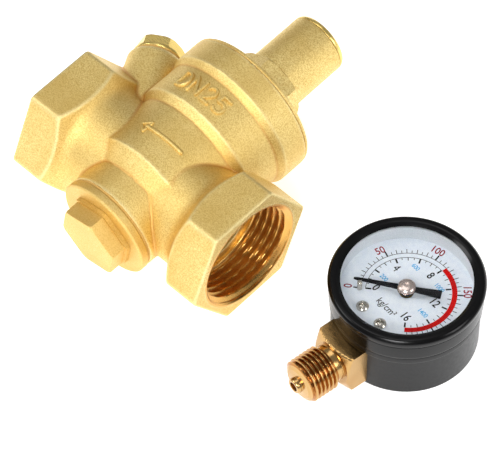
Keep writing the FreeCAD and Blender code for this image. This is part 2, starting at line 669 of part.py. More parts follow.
def gauge_stem(place):
    """Brass stem: nozzle, pipe thread, relief, square wrench block, and the socket inside."""
    along = Rotation(Vector(1, 0, 0), 90)          # turns +Z to -Y, out of the case
    shank = turned("stem_shank", [
        (-size.block_out + 0.2, 0.0), (-size.block_out + 0.2, size.relief_r),
        (-size.stem_thread_in, size.relief_r), (-size.stem_thread_in - 0.6, size.stem_thread_r),
        (-size.stem_thread_out + 0.7, size.stem_thread_r), (-size.stem_thread_out, 5.9),
        (-size.stem_thread_out - 0.5, size.nozzle_r + 0.6),
        (-size.stem_thread_out - 0.6, size.nozzle_r), (-size.nozzle_out, size.nozzle_r),
        (-size.nozzle_out, 0.0)])
    bind(shank, "Placement.Base.z", size.stem_height)
    half = size.block_flats / 2.0
    square = block("wrench_square", (-half, -size.block_out, size.stem_height - half),
                   (half, -size.block_in, size.stem_height + half))
    crown = turned("wrench_crown", [
        (-size.block_out, 0.0), (-size.block_out, half), (-size.block_out + 1.5, half * 1.42),
        (-size.block_in, half * 1.42), (-size.block_in, 0.0)])
    bind(crown, "Placement.Base.z", size.stem_height)
    tail = block("socket_block", (-size.socket_half, -size.block_in - 0.1, size.socket_low),
                 (size.socket_half, -size.socket_end, size.socket_high))
    blank = joined("stem_blank", shank, shared("wrench_block", square, crown), tail)
    way = rod("stem_way", size.stem_bore_r, 16.0, size.nozzle_out, along,
              (0.0, 0.0, size.stem_height))
    slot = tube_slot()
    node(cut("stem_solid", blank, joined("stem_hollow", way, slot)), "gauge_stem", place)


def tube_slot():
    """Slot in the socket that takes the root of the curved tube."""
    half_t = size.tube_half_t + 0.02
    half_h = size.tube_half_h + 0.02
    low = size.tube_height - half_h
    high = size.tube_height + half_h
    outer = rod("slot_outer", size.tube_mid_r + half_t, low, high)
    inner = rod("slot_inner", size.tube_mid_r - half_t, low, high)
    keep = block("slot_side", (-size.socket_half - 1.0, -size.block_in, 0.0),
                 (0.9, -size.socket_end, size.socket_high + 1.0))
    return shared("tube_root_slot", cut("slot_arc", outer, inner), keep)


def bourdon_tube(place):
    """Flattened tube bent to a C, closed at its free end."""
    mid = size.tube_mid_r.value
    half_t = size.tube_half_t.value
    half_h = size.tube_half_h.value
    height = size.tube_height.value
    start = math.radians(268.0)
    points = []
    for k in range(3):
        turn = start - math.radians(263.0) * k / 2.0
        points.append(Vector(mid * math.cos(turn), mid * math.sin(turn), height))
    path = Part.Wire([Part.Arc(*points).toShape()])
    out = Vector(math.cos(start), math.sin(start), 0)
    up = Vector(0, 0, 1)

    def corner(a, b):
        return points[0] + out * a + up * b

    wires = []
    for wall in (0.0, 0.3):
        a, b = half_t - wall, half_h - wall
        sides = [
            Part.LineSegment(corner(-a, -(b - a)), corner(-a, b - a)).toShape(),
            Part.Arc(corner(-a, b - a), corner(0, b), corner(a, b - a)).toShape(),
            Part.LineSegment(corner(a, b - a), corner(a, -(b - a))).toShape(),
            Part.Arc(corner(a, -(b - a)), corner(0, -b), corner(-a, -(b - a))).toShape()]
        wires.append(Part.Wire(sides))
    outer = path.makePipeShell([wires[0]], True, True)
    inner = path.makePipeShell([wires[1]], True, True)
    node(made("curved_tube", outer.cut(inner)), "bourdon_tube", place)


# ---------------------------------------------------------------- gauge movement

def movement_plates(place):
    """Two brass plates that hold the arbors, with pillars and screws between them."""
    low = size.socket_high
    back_high = low + size.plate_t
    front_low = back_high + size.pillar_len
    front_high = front_low + size.plate_t
    arbors = [("centre", (0.0, 0.0, 0.0)), ("sector", (size.sector_x, size.sector_y, 0.0))]
    pillars = [(-6.0, -5.5), (-4.8, 5.0), (6.2, 3.2)]
    for label, a, b, front in (("back", low, back_high, False), ("front", front_low, front_high, True)):
        plate = block(f"{label}_plate_blank", (-7.6, -10.9, a), (8.0, 6.8, b))
        holes = [rod(f"{label}_{name}_hole", size.arbor_r + 0.04, a, b, Rotation(), at)
                 for name, at in arbors]
        if front:
            holes += [rod("front_screw_hole", 0.75, a, b, Rotation(), (x, y, 0.0))
                      for x, y in pillars]
        node(cut(f"{label}_plate_solid", plate, joined(f"{label}_plate_holes", *holes)),
             f"movement_{label}_plate", place)
    bars = []
    screws = []
    for x, y in pillars:
        bar = rod("pillar_bar", size.pillar_r, back_high, front_low, Rotation(), (x, y, 0.0))
        hole = rod("pillar_hole", 0.75, front_low - 2.2, front_low, Rotation(), (x, y, 0.0))
        bars.append(cut("pillar", bar, hole))
        screw = turned("movement_screw", [
            (front_low - 2.0, 0.0), (front_low - 2.0, 0.7), (front_high, 0.7), (front_high, 1.3),
            (front_high + 0.6, 1.3), (front_high + 0.6, 0.0)], "Z")
        screw.Placement = Placement(Vector(x, y, 0), Rotation())
        screws.append(screw)
    node(joined("pillar_set", *bars), "movement_pillars", place)
    node(joined("movement_screw_set", *screws), "movement_screws", place)


def toothed_edge(centre, module, count, total, first, depth_sign=1.0):
    """Corner points of straight-sided teeth along an arc, tip and root alternating."""
    step = 2.0 * math.pi / total
    radius = module * total / 2.0
    points = []
    for k in range(count):
        mid = first + k * step
        for offset, r in ((-0.36, radius - 1.15 * module), (-0.13, radius + 0.9 * module),
                          (0.13, radius + 0.9 * module), (0.36, radius - 1.15 * module)):
            turn = mid + offset * step
            points.append(Vector(centre[0] + r * math.cos(turn), centre[1] + r * math.sin(turn), 0))
    return points


def slab(points, low, high):
    """A flat piece of the outline's shape between two heights."""
    face = Part.Face(Part.makePolygon(points + [points[0]]))
    face.translate(Vector(0, 0, low))
    return face.extrude(Vector(0, 0, high - low))


MODULE = 0.3                # tooth module of the movement
PINION_TEETH = 10
SECTOR_TEETH = 60           # of a full circle


def sector_gear(place):
    """Toothed sector, its arbor, and the tail that the link pulls."""
    low = size.socket_high.value + size.plate_t.value + 0.6
    x, y = size.sector_x.value, size.sector_y.value
    towards = math.atan2(-y, -x)
    step = 2.0 * math.pi / SECTOR_TEETH
    ahead = 2                # teeth past the pinion at rest, the rest follow as it turns
    # A gap of the sector faces the pinion's centre, where the pinion has a tooth.
    first = towards + (0.5 - 9.0) * step
    teeth = toothed_edge((x, y), MODULE, 9 + ahead, SECTOR_TEETH, first)
    inner = [Vector(x + 1.65 * math.cos(t), y + 1.65 * math.sin(t), 0)
             for t in (towards + 0.9, towards + 1.6, towards - 2.2, towards - 1.2)]
    blade = slab(teeth + inner, low, low + 0.8)
    tail_turn = math.radians(size.tail_angle.value)
    tail = Vector(x + size.tail_len.value * math.cos(tail_turn),
                  y + size.tail_len.value * math.sin(tail_turn), 0)
    side = Vector(-math.sin(tail_turn), math.cos(tail_turn), 0) * 1.1
    arm = slab([Vector(x, y, 0) - side, tail - side, tail + side, Vector(x, y, 0) + side],
               low, low + 0.8)
    eye = Part.makeCylinder(1.1, 0.8, Vector(tail.x, tail.y, low))
    pin = Part.makeCylinder(0.45, 1.9, Vector(tail.x, tail.y, low))
    hub = Part.makeCylinder(1.6, 1.6, Vector(x, y, low - 0.3))
    bottom = size.socket_high.value
    top = bottom + 2.0 * size.plate_t.value + size.pillar_len.value
    arbor = Part.makeCylinder(size.arbor_r.value, top - bottom, Vector(x, y, bottom))
    node(made("sector_solid", blade.fuse([arm, eye, pin, hub, arbor]).removeSplitter()),
         "sector_gear", place)
    return tail


def tip_link(place, tail):
    """Link between the sector's tail and the tube's free end."""
    low = size.socket_high.value + size.plate_t.value + 0.6 + 0.8 + 0.1
    high = low + 0.5
    length = size.link_len.value
    bar = Part.makeBox(1.6, length, high - low, Vector(tail.x - 0.8, tail.y, low))
    eyes = [Part.makeCylinder(1.3, high - low, Vector(tail.x, tail.y + k, low)) for k in (0.0, length)]
    holes = [Part.makeCylinder(r, 4.0, Vector(tail.x, tail.y + k, low - 1.0))
             for k, r in ((0.0, 0.5), (length, 0.85))]
    node(made("link_solid", bar.fuse(eyes).cut(holes[0]).cut(holes[1]).removeSplitter()),
         "tip_link", place)


def tube_tip(place, tail):
    """Block soldered in the tube's free end, with an arm over the link and its pin."""
    low = size.socket_high.value + size.plate_t.value + 0.6 + 0.8 + 0.1 + 0.5 + 0.15
    mid = size.tube_mid_r.value
    height = size.tube_height.value
    end_y = tail.y + size.link_len.value
    turn = math.radians(5.0)
    plug = Part.makeBox(3.2, 3.0, low + 0.9 - (height - 3.0),
                        Vector(mid - 1.7, mid * math.sin(turn) - 3.3, height - 3.0))
    arm = Part.makeBox(mid - tail.x + 0.4, 2.4, 0.9, Vector(tail.x, end_y - 1.2, low))
    round_end = Part.makeCylinder(1.2, 0.9, Vector(tail.x, end_y, low))
    pin = Part.makeCylinder(0.45, 0.8, Vector(tail.x, end_y, low - 0.6))
    rise = Part.makeBox(2.4, abs(end_y) + 1.2, 0.9, Vector(mid - 1.7, end_y - 1.2, low))
    node(made("tip_solid", plug.fuse([arm, round_end, pin, rise]).removeSplitter()),
         "tube_tip_block", place)


def pointer_arbor(place):
    """Centre arbor with its pinion, carrying the pointer above the dial."""
    low = size.socket_high.value
    mesh = low + size.plate_t.value + 0.4
    towards = math.atan2(size.sector_y.value, size.sector_x.value)
    teeth = toothed_edge((0.0, 0.0), MODULE, PINION_TEETH, PINION_TEETH, towards)
    pinion = slab(teeth, mesh, mesh + 1.4)
    arbor = Part.makeCylinder(size.arbor_r.value, size.pointer_low.value - low, Vector(0, 0, low))
    node(made("arbor_solid", arbor.fuse(pinion).removeSplitter()), "pointer_arbor", place)


def hairspring(place):
    """Flat spiral that takes the play out of the teeth, pinned to the arbor and a pillar."""
    low = size.socket_high.value + size.plate_t.value + 2.9
    half = 0.06
    turns = 4.0
    steps = 64
    sides = []
    for shift in (-half, half):
        points = []
        for k in range(steps + 1):
            turn = 2.0 * math.pi * turns * k / steps
            r = 1.1 + (4.2 - 1.1) * k / steps + shift
            points.append(Vector(r * math.cos(turn), r * math.sin(turn), low))
        curve = Part.BSplineCurve()
        curve.interpolate(points)
        sides.append((curve.toShape(), points))
    (inner, inner_points), (outer, outer_points) = sides
    ends = [Part.makeLine(inner_points[k], outer_points[k]) for k in (0, -1)]
    ribbon = Part.Face(Part.Wire(Part.__sortEdges__([inner, outer] + ends)))
    coil = ribbon.extrude(Vector(0, 0, 0.45))
    node(made("hairspring_solid", coil), "hairspring", place)


def pointer(place):
    """Thin needle with a broad tail, resting against the stop pin."""
    low = size.pointer_low.value + 0.02
    turn = math.radians(size.pointer_angle.value)
    ahead = Vector(math.cos(turn), math.sin(turn), 0)
    side = Vector(-math.sin(turn), math.cos(turn), 0)
    reach = size.pointer_reach.value
    tail = size.pointer_tail.value
    half = [(reach, 0.22), (reach - 1.0, 0.42), (2.0, 0.85), (-1.8, 0.8), (-tail + 0.2, 1.35),
            (-tail, 1.2)]
    points = [ahead * a + side * b for a, b in half]
    points += [ahead * a - side * b for a, b in reversed(half)]
    blade = slab(points, low, low + size.pointer_t.value)
    disc = Part.makeCylinder(2.6, size.pointer_t.value, Vector(0, 0, low))
    hole = Part.makeCylinder(0.5, 2.0, Vector(0, 0, low - 0.5))
    node(made("pointer_solid", blade.fuse(disc).cut(hole).removeSplitter()), "pointer", place)


def pointer_hub(place):
    """Turned cap that presses the pointer on its arbor."""
    low = size.pointer_low + 0.02 + size.pointer_t
    node(turned("hub_cap", [
        (size.pointer_low + 0.02, 0.0), (size.pointer_low + 0.02, 0.48), (low, 0.48),
        (low, size.hub_r), (size.hub_high - 0.7, size.hub_r),
        (size.hub_high - 0.15, size.hub_r - 0.7), (size.hub_high, size.hub_r - 1.3),
        (size.hub_high, 0.0)], "Z"), "pointer_hub", place)


# ---------------------------------------------------------------- assembly

def main():
    lip = size.mouth_r.value - size.thread_minor_r.value
    inside_mouth = (lip + size.thread_depth.value) / 2.0
    shift = Vector(inside_mouth - size.face_to_face.value / 2.0, 0, 0)
    lean = Rotation(Vector(1, 0, 0), size.lean.value)
    valve = Placement(shift, lean)
    # The table touches the lower corner edges of the two hexagons.
    corner = Vector(0, -size.end_flats.value / 2.0 / math.sqrt(3.0), -size.end_flats.value / 2.0)
    table = lean.multVec(corner).z
    gauge = Placement(shift + Vector(size.gauge_x.value, size.gauge_y.value, table),
                      Rotation(Vector(0, 0, 1), size.gauge_turn.value))

    valve_body(valve)
    for make in (seat_ring, valve_stem, disc_holder, seat_disc, disc_retainer, piston, stem_nut,
                 moving_rings, bottom_plug, bottom_plug_seal, bonnet, bonnet_seal, main_spring,
                 upper_spring_plate, adjusting_screw, end_ring, port_plug):
        make(valve)
    for make in (gauge_case, gauge_bezel, gauge_lens, lens_gasket, dial_spacer, gauge_dial,
                 dial_posts, dial_screws, stop_pin, gauge_stem, bourdon_tube, movement_plates,
                 pointer_arbor, hairspring, pointer, pointer_hub):
        make(gauge)
    tail = sector_gear(gauge)
    tip_link(gauge, tail)
    tube_tip(gauge, tail)
    doc.recompute()

    failed = [o.Name for o in doc.Objects if "Invalid" in o.State or "Error" in o.State]
    if failed:
        raise RuntimeError(f"failed objects: {failed}")
    for piece in NODES:
        if piece.Shape.isNull() or not piece.Shape.isValid():
            raise RuntimeError(f"{piece.Label} has no valid shape")
    os.makedirs("parts", exist_ok=True)
    for piece in NODES:
        piece.Shape.exportStep(f"parts/{piece.Label}.step")
        box = piece.Shape.BoundBox
        print(f"{piece.Label:22s} solids {len(piece.Shape.Solids)} volume {piece.Shape.Volume:9.1f} "
              f"z {box.ZMin:7.2f} {box.ZMax:7.2f}")
    print("table height", round(table, 3), "nodes", len(NODES))


main()
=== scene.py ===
"""Looks of the brass pressure reducing valve and the pressure gauge that lies beside it.

Local frames, in millimetres: the valve's has X along the flow towards the inlet, Y along the
bonnet and Z towards the lettered side, from the crossing of the two axes; the gauge's has Z
through the dial and its stem along -Y, from the centre of its back.
"""

import json
import math

import bpy
import numpy as np
from mathutils import Matrix, Vector


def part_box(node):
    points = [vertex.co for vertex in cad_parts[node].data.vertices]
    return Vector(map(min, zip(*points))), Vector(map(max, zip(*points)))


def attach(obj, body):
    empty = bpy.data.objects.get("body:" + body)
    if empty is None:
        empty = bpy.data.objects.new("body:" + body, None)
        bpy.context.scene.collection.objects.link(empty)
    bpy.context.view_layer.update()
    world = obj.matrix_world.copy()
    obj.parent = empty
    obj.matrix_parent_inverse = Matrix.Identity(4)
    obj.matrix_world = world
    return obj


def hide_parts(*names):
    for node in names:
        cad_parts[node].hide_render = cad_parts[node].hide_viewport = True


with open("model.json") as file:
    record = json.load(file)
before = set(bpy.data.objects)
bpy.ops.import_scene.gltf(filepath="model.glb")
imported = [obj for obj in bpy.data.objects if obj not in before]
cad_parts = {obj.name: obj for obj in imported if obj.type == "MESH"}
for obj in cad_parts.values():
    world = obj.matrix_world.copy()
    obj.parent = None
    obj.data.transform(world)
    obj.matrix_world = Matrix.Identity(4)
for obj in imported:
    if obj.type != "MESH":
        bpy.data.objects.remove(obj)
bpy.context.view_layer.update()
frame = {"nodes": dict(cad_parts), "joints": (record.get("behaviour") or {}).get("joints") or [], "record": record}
RECORD = frame["record"]
JOINTS = {j["name"]: j for j in frame["joints"]}
MOUNTS = {m["name"]: m for m in RECORD["mounts"]}
scene = bpy.context.scene
MM = 0.001

# ---------------------------------------------------------------- places

bonnet_way = np.array(JOINTS["piston_travel"]["axis"])
cross = (np.array(MOUNTS["inlet"]["pos_m"]) + np.array(MOUNTS["outlet"]["pos_m"])) / 2.0
HALF = 37.0
LEAN = math.atan2(bonnet_way[2], bonnet_way[1])
VALVE = Matrix.Translation(Vector(cross)) @ Matrix.Rotation(LEAN, 4, "X") @ Matrix.Scale(MM, 4)
dial_axis = JOINTS["pointer_turn"]["pos_m"]
stem_way = MOUNTS["gauge_thread"]["axis"]
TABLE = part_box("gauge_case")[0].z
GAUGE_TURN = math.atan2(stem_way[1], stem_way[0]) + math.pi / 2.0
GAUGE = (Matrix.Translation((dial_axis[0], dial_axis[1], TABLE))
         @ Matrix.Rotation(GAUGE_TURN, 4, "Z") @ Matrix.Scale(MM, 4))


# ---------------------------------------------------------------- nodes for materials

class Paint:
    """A material under construction: thin wrapper around its node tree."""

    def __init__(self, name):
        self.mat = bpy.data.materials.new(name)
        self.mat.use_nodes = True
        self.tree = self.mat.node_tree
        self.tree.nodes.clear()
        self.out = self.tree.nodes.new("ShaderNodeOutputMaterial")
        self.bsdf = self.tree.nodes.new("ShaderNodeBsdfPrincipled")
        self.tree.links.new(self.bsdf.outputs[0], self.out.inputs[0])
        self.coord = self.tree.nodes.new("ShaderNodeTexCoord")

    def put(self, socket, value):
        """Plugs a node's output, or sets a number or colour."""
        if isinstance(value, bpy.types.NodeSocket):
            self.tree.links.new(value, socket)
        else:
            socket.default_value = value

    def noise(self, scale, detail=4.0, rough=0.55, stretch=None):
        """Noise over Object coordinates, scale in features per metre."""
        vector = self.coord.outputs["Object"]
        if stretch:
            shape = self.tree.nodes.new("ShaderNodeMapping")
            shape.inputs["Scale"].default_value = stretch
            self.put(shape.inputs["Vector"], vector)
            vector = shape.outputs[0]
        node = self.tree.nodes.new("ShaderNodeTexNoise")
        self.put(node.inputs["Vector"], vector)
        node.inputs["Scale"].default_value = scale
        node.inputs["Detail"].default_value = detail
        node.inputs["Roughness"].default_value = rough
        return node.outputs["Fac"]

    def attribute(self, name):
        """A value stored on the mesh's points; 0 where a piece has none."""
        node = self.tree.nodes.new("ShaderNodeAttribute")
        node.attribute_name = name
        return node.outputs["Fac"]

    def ramp(self, fac, stops):
        """Colour ramp of (position, colour or grey)."""
        node = self.tree.nodes.new("ShaderNodeValToRGB")
        self.put(node.inputs[0], fac)
        elements = node.color_ramp.elements
        while len(elements) < len(stops):
            elements.new(0.5)
        for element, (at, colour) in zip(elements, stops):
            element.position = at
            element.color = (colour,) * 3 + (1.0,) if isinstance(colour, float) else (*colour, 1.0)
        return node.outputs[0]

    def math(self, kind, a, b):
        """One sum or product of two values."""
        node = self.tree.nodes.new("ShaderNodeMath")
        node.operation = kind
        self.put(node.inputs[0], a)
        self.put(node.inputs[1], b)
        return node.outputs[0]

    def mix(self, fac, a, b):
        """Colour a where fac is 0, colour b where it is 1."""
        node = self.tree.nodes.new("ShaderNodeMix")
        node.data_type = "RGBA"
        self.put(node.inputs["Factor"], fac)
        for socket, value in ((node.inputs[6], a), (node.inputs[7], b)):
            self.put(socket, value if isinstance(value, bpy.types.NodeSocket) else (*value, 1.0))
        return node.outputs[2]

    def bump(self, height, strength, distance):
        """Fine relief, distance in metres."""
        node = self.tree.nodes.new("ShaderNodeBump")
        node.inputs["Strength"].default_value = strength
        node.inputs["Distance"].default_value = distance
        self.put(node.inputs["Height"], height)
        self.put(self.bsdf.inputs["Normal"], node.outputs[0])

    def set(self, **values):
        """Sets the shader's sockets, named with underscores for spaces."""
        for key, value in values.items():
            name = key.replace("_", " ")
            if isinstance(value, tuple) and len(value) == 3:
                value = (*value, 1.0)
            self.put(self.bsdf.inputs[name], value)


def linear(r, g, b):
    """sRGB 0-255 to scene-linear."""
    out = []
    for c in (r, g, b):
        c /= 255.0
        out.append(c / 12.92 if c <= 0.04045 else ((c + 0.055) / 1.055) ** 2.4)
    return tuple(out)


def cast_brass(name="cast_brass", low=(233, 203, 127), high=(248, 224, 152)):
    """Blasted brass: fine sand grain over a soft satin, with slow tone drift, a painted highlight on its
    outer edges and painted shade in its hollows."""
    p = Paint(name)
    drift = p.noise(60.0, 3.0)
    grain = p.noise(2600.0, 3.0, 0.7)
    fine = p.noise(7000.0, 2.0, 0.6)
    tone = p.mix(p.ramp(drift, [(0.35, 0.0), (0.65, 1.0)]), linear(*low), linear(*high))
    tone = p.mix(p.ramp(grain, [(0.42, 0.0), (0.62, 1.0)]), tone, linear(216, 180, 98))
    edge = p.attribute("rounding")
    # painted highlight: a paler colour on convex outer edges, driven by the rounding value
    tone = p.mix(p.ramp(edge, [(0.08, 0.0), (0.5, 0.38)]), tone, linear(255, 244, 192))
    # painted shade: a darker, more orange colour in hollow corners, where the rounding value is negative
    hollow = p.math("MULTIPLY", edge, -1.0)
    tone = p.mix(p.ramp(hollow, [(0.05, 0.0), (0.4, 0.6)]), tone, linear(212, 154, 78))
    p.set(Base_Color=tone, Metallic=1.0, Roughness=p.ramp(grain, [(0.3, 0.42), (0.7, 0.52)]))
    p.bump(p.math("ADD", grain, p.math("MULTIPLY", fine, 0.6)), 0.75, 0.00014)
    return p.mat


def turned_brass(name="turned_brass", tone=(240, 212, 130), rough=(0.24, 0.36), groove=None):
    """Machined brass with faint tool lines and small wear marks, with painted shade in its thread's grooves."""
    p = Paint(name)
    drift = p.noise(90.0, 3.0)
    lines = p.noise(5200.0, 2.0, 0.6, (0.08, 1.0, 1.0))
    r, g, b = tone
    base = p.mix(p.ramp(drift, [(0.35, 0.0), (0.65, 1.0)]), linear(r - 8, g - 12, b - 14), linear(*tone))
    # painted shade: the groove colour darkens the thread's grooves by their depth
    if groove:
        base = p.mix(p.ramp(p.attribute("groove"), [(0.15, 0.0), (0.75, 1.0)]), base, linear(*groove))
    p.set(Base_Color=base, Metallic=1.0, Roughness=p.ramp(lines, [(0.3, rough[0]), (0.7, rough[1])]))
    p.bump(lines, 0.18, 0.00005)
    return p.mat


def metal(name, tone, rough, scale=3000.0, strength=0.12):
    """Plain bright metal with fine scratches."""
    p = Paint(name)
    lines = p.noise(scale, 3.0, 0.6, (1.0, 0.3, 1.0))
    r, g, b = tone
    base = p.mix(p.ramp(lines, [(0.4, 0.0), (0.6, 1.0)]), linear(*tone),
                 linear(max(r - 14, 0), max(g - 14, 0), max(b - 14, 0)))
    p.set(Base_Color=base, Metallic=1.0, Roughness=p.ramp(lines, [(0.3, rough * 0.85), (0.7, rough * 1.2)]))
    p.bump(lines, strength, 0.00004)
    return p.mat


def enamel(name, tone, rough, shine):
    """Black enamel with a slight orange-peel and dust."""
    p = Paint(name)
    peel = p.noise(900.0, 2.0)
    dust = p.noise(5000.0, 2.0)
    r, g, b = tone
    base = p.mix(p.ramp(dust, [(0.6, 0.0), (0.8, 1.0)]), linear(*tone), linear(r + 6, g + 6, b + 6))
    p.set(Base_Color=base, Roughness=p.ramp(peel, [(0.3, rough * 0.9), (0.7, rough * 1.15)]))
    p.bsdf.inputs["Specular IOR Level"].default_value = shine
    p.bump(peel, 0.06, 0.0001)
    return p.mat


def matte(name, tone, rough=0.6, scale=2500.0, other=None, shine=0.1):
    """Non-metal with a fine mottled tone."""
    p = Paint(name)
    spots = p.noise(scale, 3.0)
    other = other or tuple(max(c - 12, 0) for c in tone)
    base = p.mix(p.ramp(spots, [(0.4, 0.0), (0.65, 1.0)]), linear(*tone), linear(*other))
    p.set(Base_Color=base, Roughness=p.ramp(spots, [(0.3, rough * 0.9), (0.7, min(rough * 1.1, 1.0))]))
    p.bsdf.inputs["Specular IOR Level"].default_value = shine
    p.bump(spots, 0.08, 0.00004)
    return p.mat


def clear_glass():
    """Clear flat lens, thin enough to pass light straight through with a faint reflection."""
    p = Paint("clear_glass")
    smears = p.noise(300.0, 3.0)
    p.set(Base_Color=(0.98, 0.99, 0.99), IOR=1.08, Roughness=p.ramp(smears, [(0.4, 0.0), (0.8, 0.008)]))
    p.bsdf.inputs["Transmission Weight"].default_value = 1.0
    return p.mat


MATERIALS = {
    "cast_brass": cast_brass(),
    "turned_brass": turned_brass(),
    "bonnet_brass": cast_brass("bonnet_brass", (240, 210, 134), (252, 230, 160)),
    "plug_brass": cast_brass("plug_brass", (222, 188, 116), (236, 206, 134)),
    "bore_brass": turned_brass("bore_brass", (236, 188, 108), (0.24, 0.36)),
    # the last colour is painted shade for the stem thread's grooves
    "stem_brass": turned_brass("stem_brass", (190, 154, 100), (0.15, 0.26), (166, 112, 58)),
    "movement_brass": turned_brass("movement_brass", (222, 188, 110), (0.26, 0.38)),
    "steel": metal("steel", (190, 190, 192), 0.28),
    "spring_steel": metal("spring_steel", (140, 140, 144), 0.35),
    "small_screw_steel": metal("small_screw_steel", (214, 208, 198), 0.2),
    "hub_metal": metal("hub_metal", (226, 208, 200), 0.26, 500.0, 0.03),
    "fibre": matte("fibre", (214, 174, 102), 0.6, other=(196, 152, 84)),
    "black_rubber": matte("black_rubber", (26, 26, 27), 0.7),
    "black_paint": enamel("black_paint", (5, 5, 6), 0.34, 0.26),
    "bezel_paint": enamel("bezel_paint", (3, 3, 4), 0.2, 0.22),
    "pale_plastic": matte("pale_plastic", (222, 226, 230), 0.5, other=(212, 217, 222)),
    "dial_paint": matte("dial_paint", (231, 237, 246), 0.35, 900.0, (238, 243, 249)),
    "pointer_paint": matte("pointer_paint", (40, 40, 43), 0.45),
    "clear_glass": clear_glass(),
}
INK = {
    "black": matte("ink_black", (22, 22, 26), 0.5),
    "red": matte("ink_red", (210, 16, 12), 0.42, 1500.0, (200, 12, 10)),
    "dark_red": matte("ink_dark_red", (150, 24, 50), 0.5),
    "blue": matte("ink_blue", (70, 170, 222), 0.5, other=(96, 184, 228)),
}

for part in RECORD["subparts"]:
    data = frame["nodes"][part["node"]].data
    data.materials.clear()
    data.materials.append(MATERIALS[part["material_slot"]])


# ---------------------------------------------------------------- surfaces

def mesh_object(name, points, faces, place, slot, body, material=None, replaces=(), normals=None):
    """Makes one piece from local millimetre points, puts it in the row's frame and lets it ride."""
    world = np.asarray(points, float) @ np.array(place.to_3x3()).T + np.array(place.translation)
    data = bpy.data.meshes.new(name)
    data.from_pydata(world.tolist(), [], [tuple(f) for f in faces])
    data.validate()
    data.polygons.foreach_set("use_smooth", [True] * len(data.polygons))
    data.materials.append(material or MATERIALS[slot])
    if normals is not None:
        turn = np.array(place.to_3x3().normalized())
        data.normals_split_custom_set_from_vertices((normals @ turn.T).tolist())
    piece = bpy.data.objects.new(name, data)
    scene.collection.objects.link(piece)
    if normals is None:
        data.set_sharp_from_angle(angle=math.radians(34.0))
    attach(piece, body)
    if replaces:
        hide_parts(*replaces)
    return piece


def grid_faces(rows, columns, closed_rows=False):
    """Quads of a rows x columns grid whose columns close on themselves:
    (i, j), (i, j + 1), (i + 1, j + 1), (i + 1, j)."""
    last = rows if closed_rows else rows - 1
    i, j = np.meshgrid(np.arange(last), np.arange(columns), indexing="ij")
    n, k = (i + 1) % rows, (j + 1) % columns
    quads = np.stack([i * columns + j, i * columns + k, n * columns + k, n * columns + j], -1)
    return [tuple(quad) for quad in quads.reshape(-1, 4).tolist()]


def softened(corners, radius, steps=4):
    """An outline (station, radius) with each corner replaced by a small arc of about that size."""
    result = []
    count = len(corners)
    for i, (a, r) in enumerate(corners):
        if i in (0, count - 1):
            result.append((a, r))
            continue
        here = np.array((a, r), float)
        before = np.array(corners[i - 1], float) - here
        after = np.array(corners[i + 1], float) - here
        lb, la = np.linalg.norm(before), np.linalg.norm(after)
        cut = min(radius, 0.45 * lb, 0.45 * la)
        start = here + before / lb * cut
        end = here + after / la * cut
        for k in range(steps + 1):
            t = k / steps
            result.append(tuple((1 - t) ** 2 * start + 2 * t * (1 - t) * here + t * t * end))
    return result


def lathe(rows, count=128):
    """Surface of revolution about Z: point = (r cos u, r sin u, station), where r may be a number
    or a function of u. A first or last row of radius 0 becomes a pole; a closed outline (the
    first row repeated last) becomes a ring."""
    u = np.linspace(0.0, 2.0 * math.pi, count, endpoint=False)
    closed = rows[0] == rows[-1]
    rows = rows[:-1] if closed else list(rows)
    first_pole = not closed and rows[0][1] == 0
    last_pole = not closed and rows[-1][1] == 0
    inner = rows[1 if first_pole else 0: len(rows) - (1 if last_pole else 0)]
    points = []
    for station, radius in inner:
        r = radius(u, station) if callable(radius) else np.full(count, float(radius))
        z = np.full(count, float(station))
        points.append(np.stack([r * np.cos(u), r * np.sin(u), z], 1))
    grid = np.concatenate(points)
    faces = grid_faces(len(inner), count, closed)
    if first_pole:
        faces += [(len(grid), (j + 1) % count, j) for j in range(count)]
        grid = np.vstack([grid, [0.0, 0.0, rows[0][0]]])
    if last_pole:
        base = (len(inner) - 1) * count
        faces += [(len(grid), base + j, base + (j + 1) % count) for j in range(count)]
        grid = np.vstack([grid, [0.0, 0.0, rows[-1][0]]])
    return grid, faces


def outward(points, faces):
    """Flips a closed surface whose signed volume, the sum of a . (b x c) over the triangles
    (a, b, c) fanned from each face's first corner, is negative."""
    total = 0.0
    p = np.asarray(points, float)
    for size in {len(f) for f in faces}:
        corners = p[np.array([f for f in faces if len(f) == size])]
        total += np.sum(corners[:, :1] * np.cross(corners[:, 1:-1], corners[:, 2:]))
    return [tuple(reversed(f)) for f in faces] if total < 0 else faces


def along(axis, points):
    """Turns points drawn about Z so that Z becomes the named local axis, Y or Z."""
    return np.stack([points[:, 0], points[:, 2], -points[:, 1]], 1) if axis == "Y" else points


def turned_piece(name, rows, place, slot, body, axis="Y", replaces=(), count=128, material=None):
    """One piece turned on a lathe from rows of (station, radius)."""
    points, faces = lathe(rows, count)
    points = along(axis, points)
    mesh_object(name, points, outward(points, faces), place, slot, body, material, replaces)


def hexagon_radius(flats, cap, first=0.0, soft=0.25):
    """r(u) of a hexagon of that width across flats with a corner at angle first, held inside the
    cap radius (a number or a function of the station), blended over soft millimetres."""
    def radius(u, station):
        turn = np.mod(u - first, math.pi / 3.0) - math.pi / 6.0
        flat = flats / 2.0 / np.cos(turn)
        limit = cap(station) if callable(cap) else cap
        h = np.maximum(soft - np.abs(flat - limit), 0.0) / soft
        return np.minimum(flat, limit) - h * h * soft / 4.0
    return radius


# ---------------------------------------------------------------- cast body as a blended field

def smooth_min(a, b, k):
    """min(a, b) rounded over k: min - (max(k - |a-b|, 0))^2 / 4k."""
    h = np.maximum(k - np.abs(a - b), 0.0)
    return np.minimum(a, b) - h * h / (4.0 * k)


def smooth_max(a, b, k):
    """max(a, b) rounded over k."""
    return -smooth_min(-a, -b, k)


def tube_distance(a, r, low, high, radius, soft=0.5):
    """Distance field of a plain cylinder between two stations."""
    return smooth_max(r - radius, np.abs(a - (low + high) / 2.0) - (high - low) / 2.0, soft)


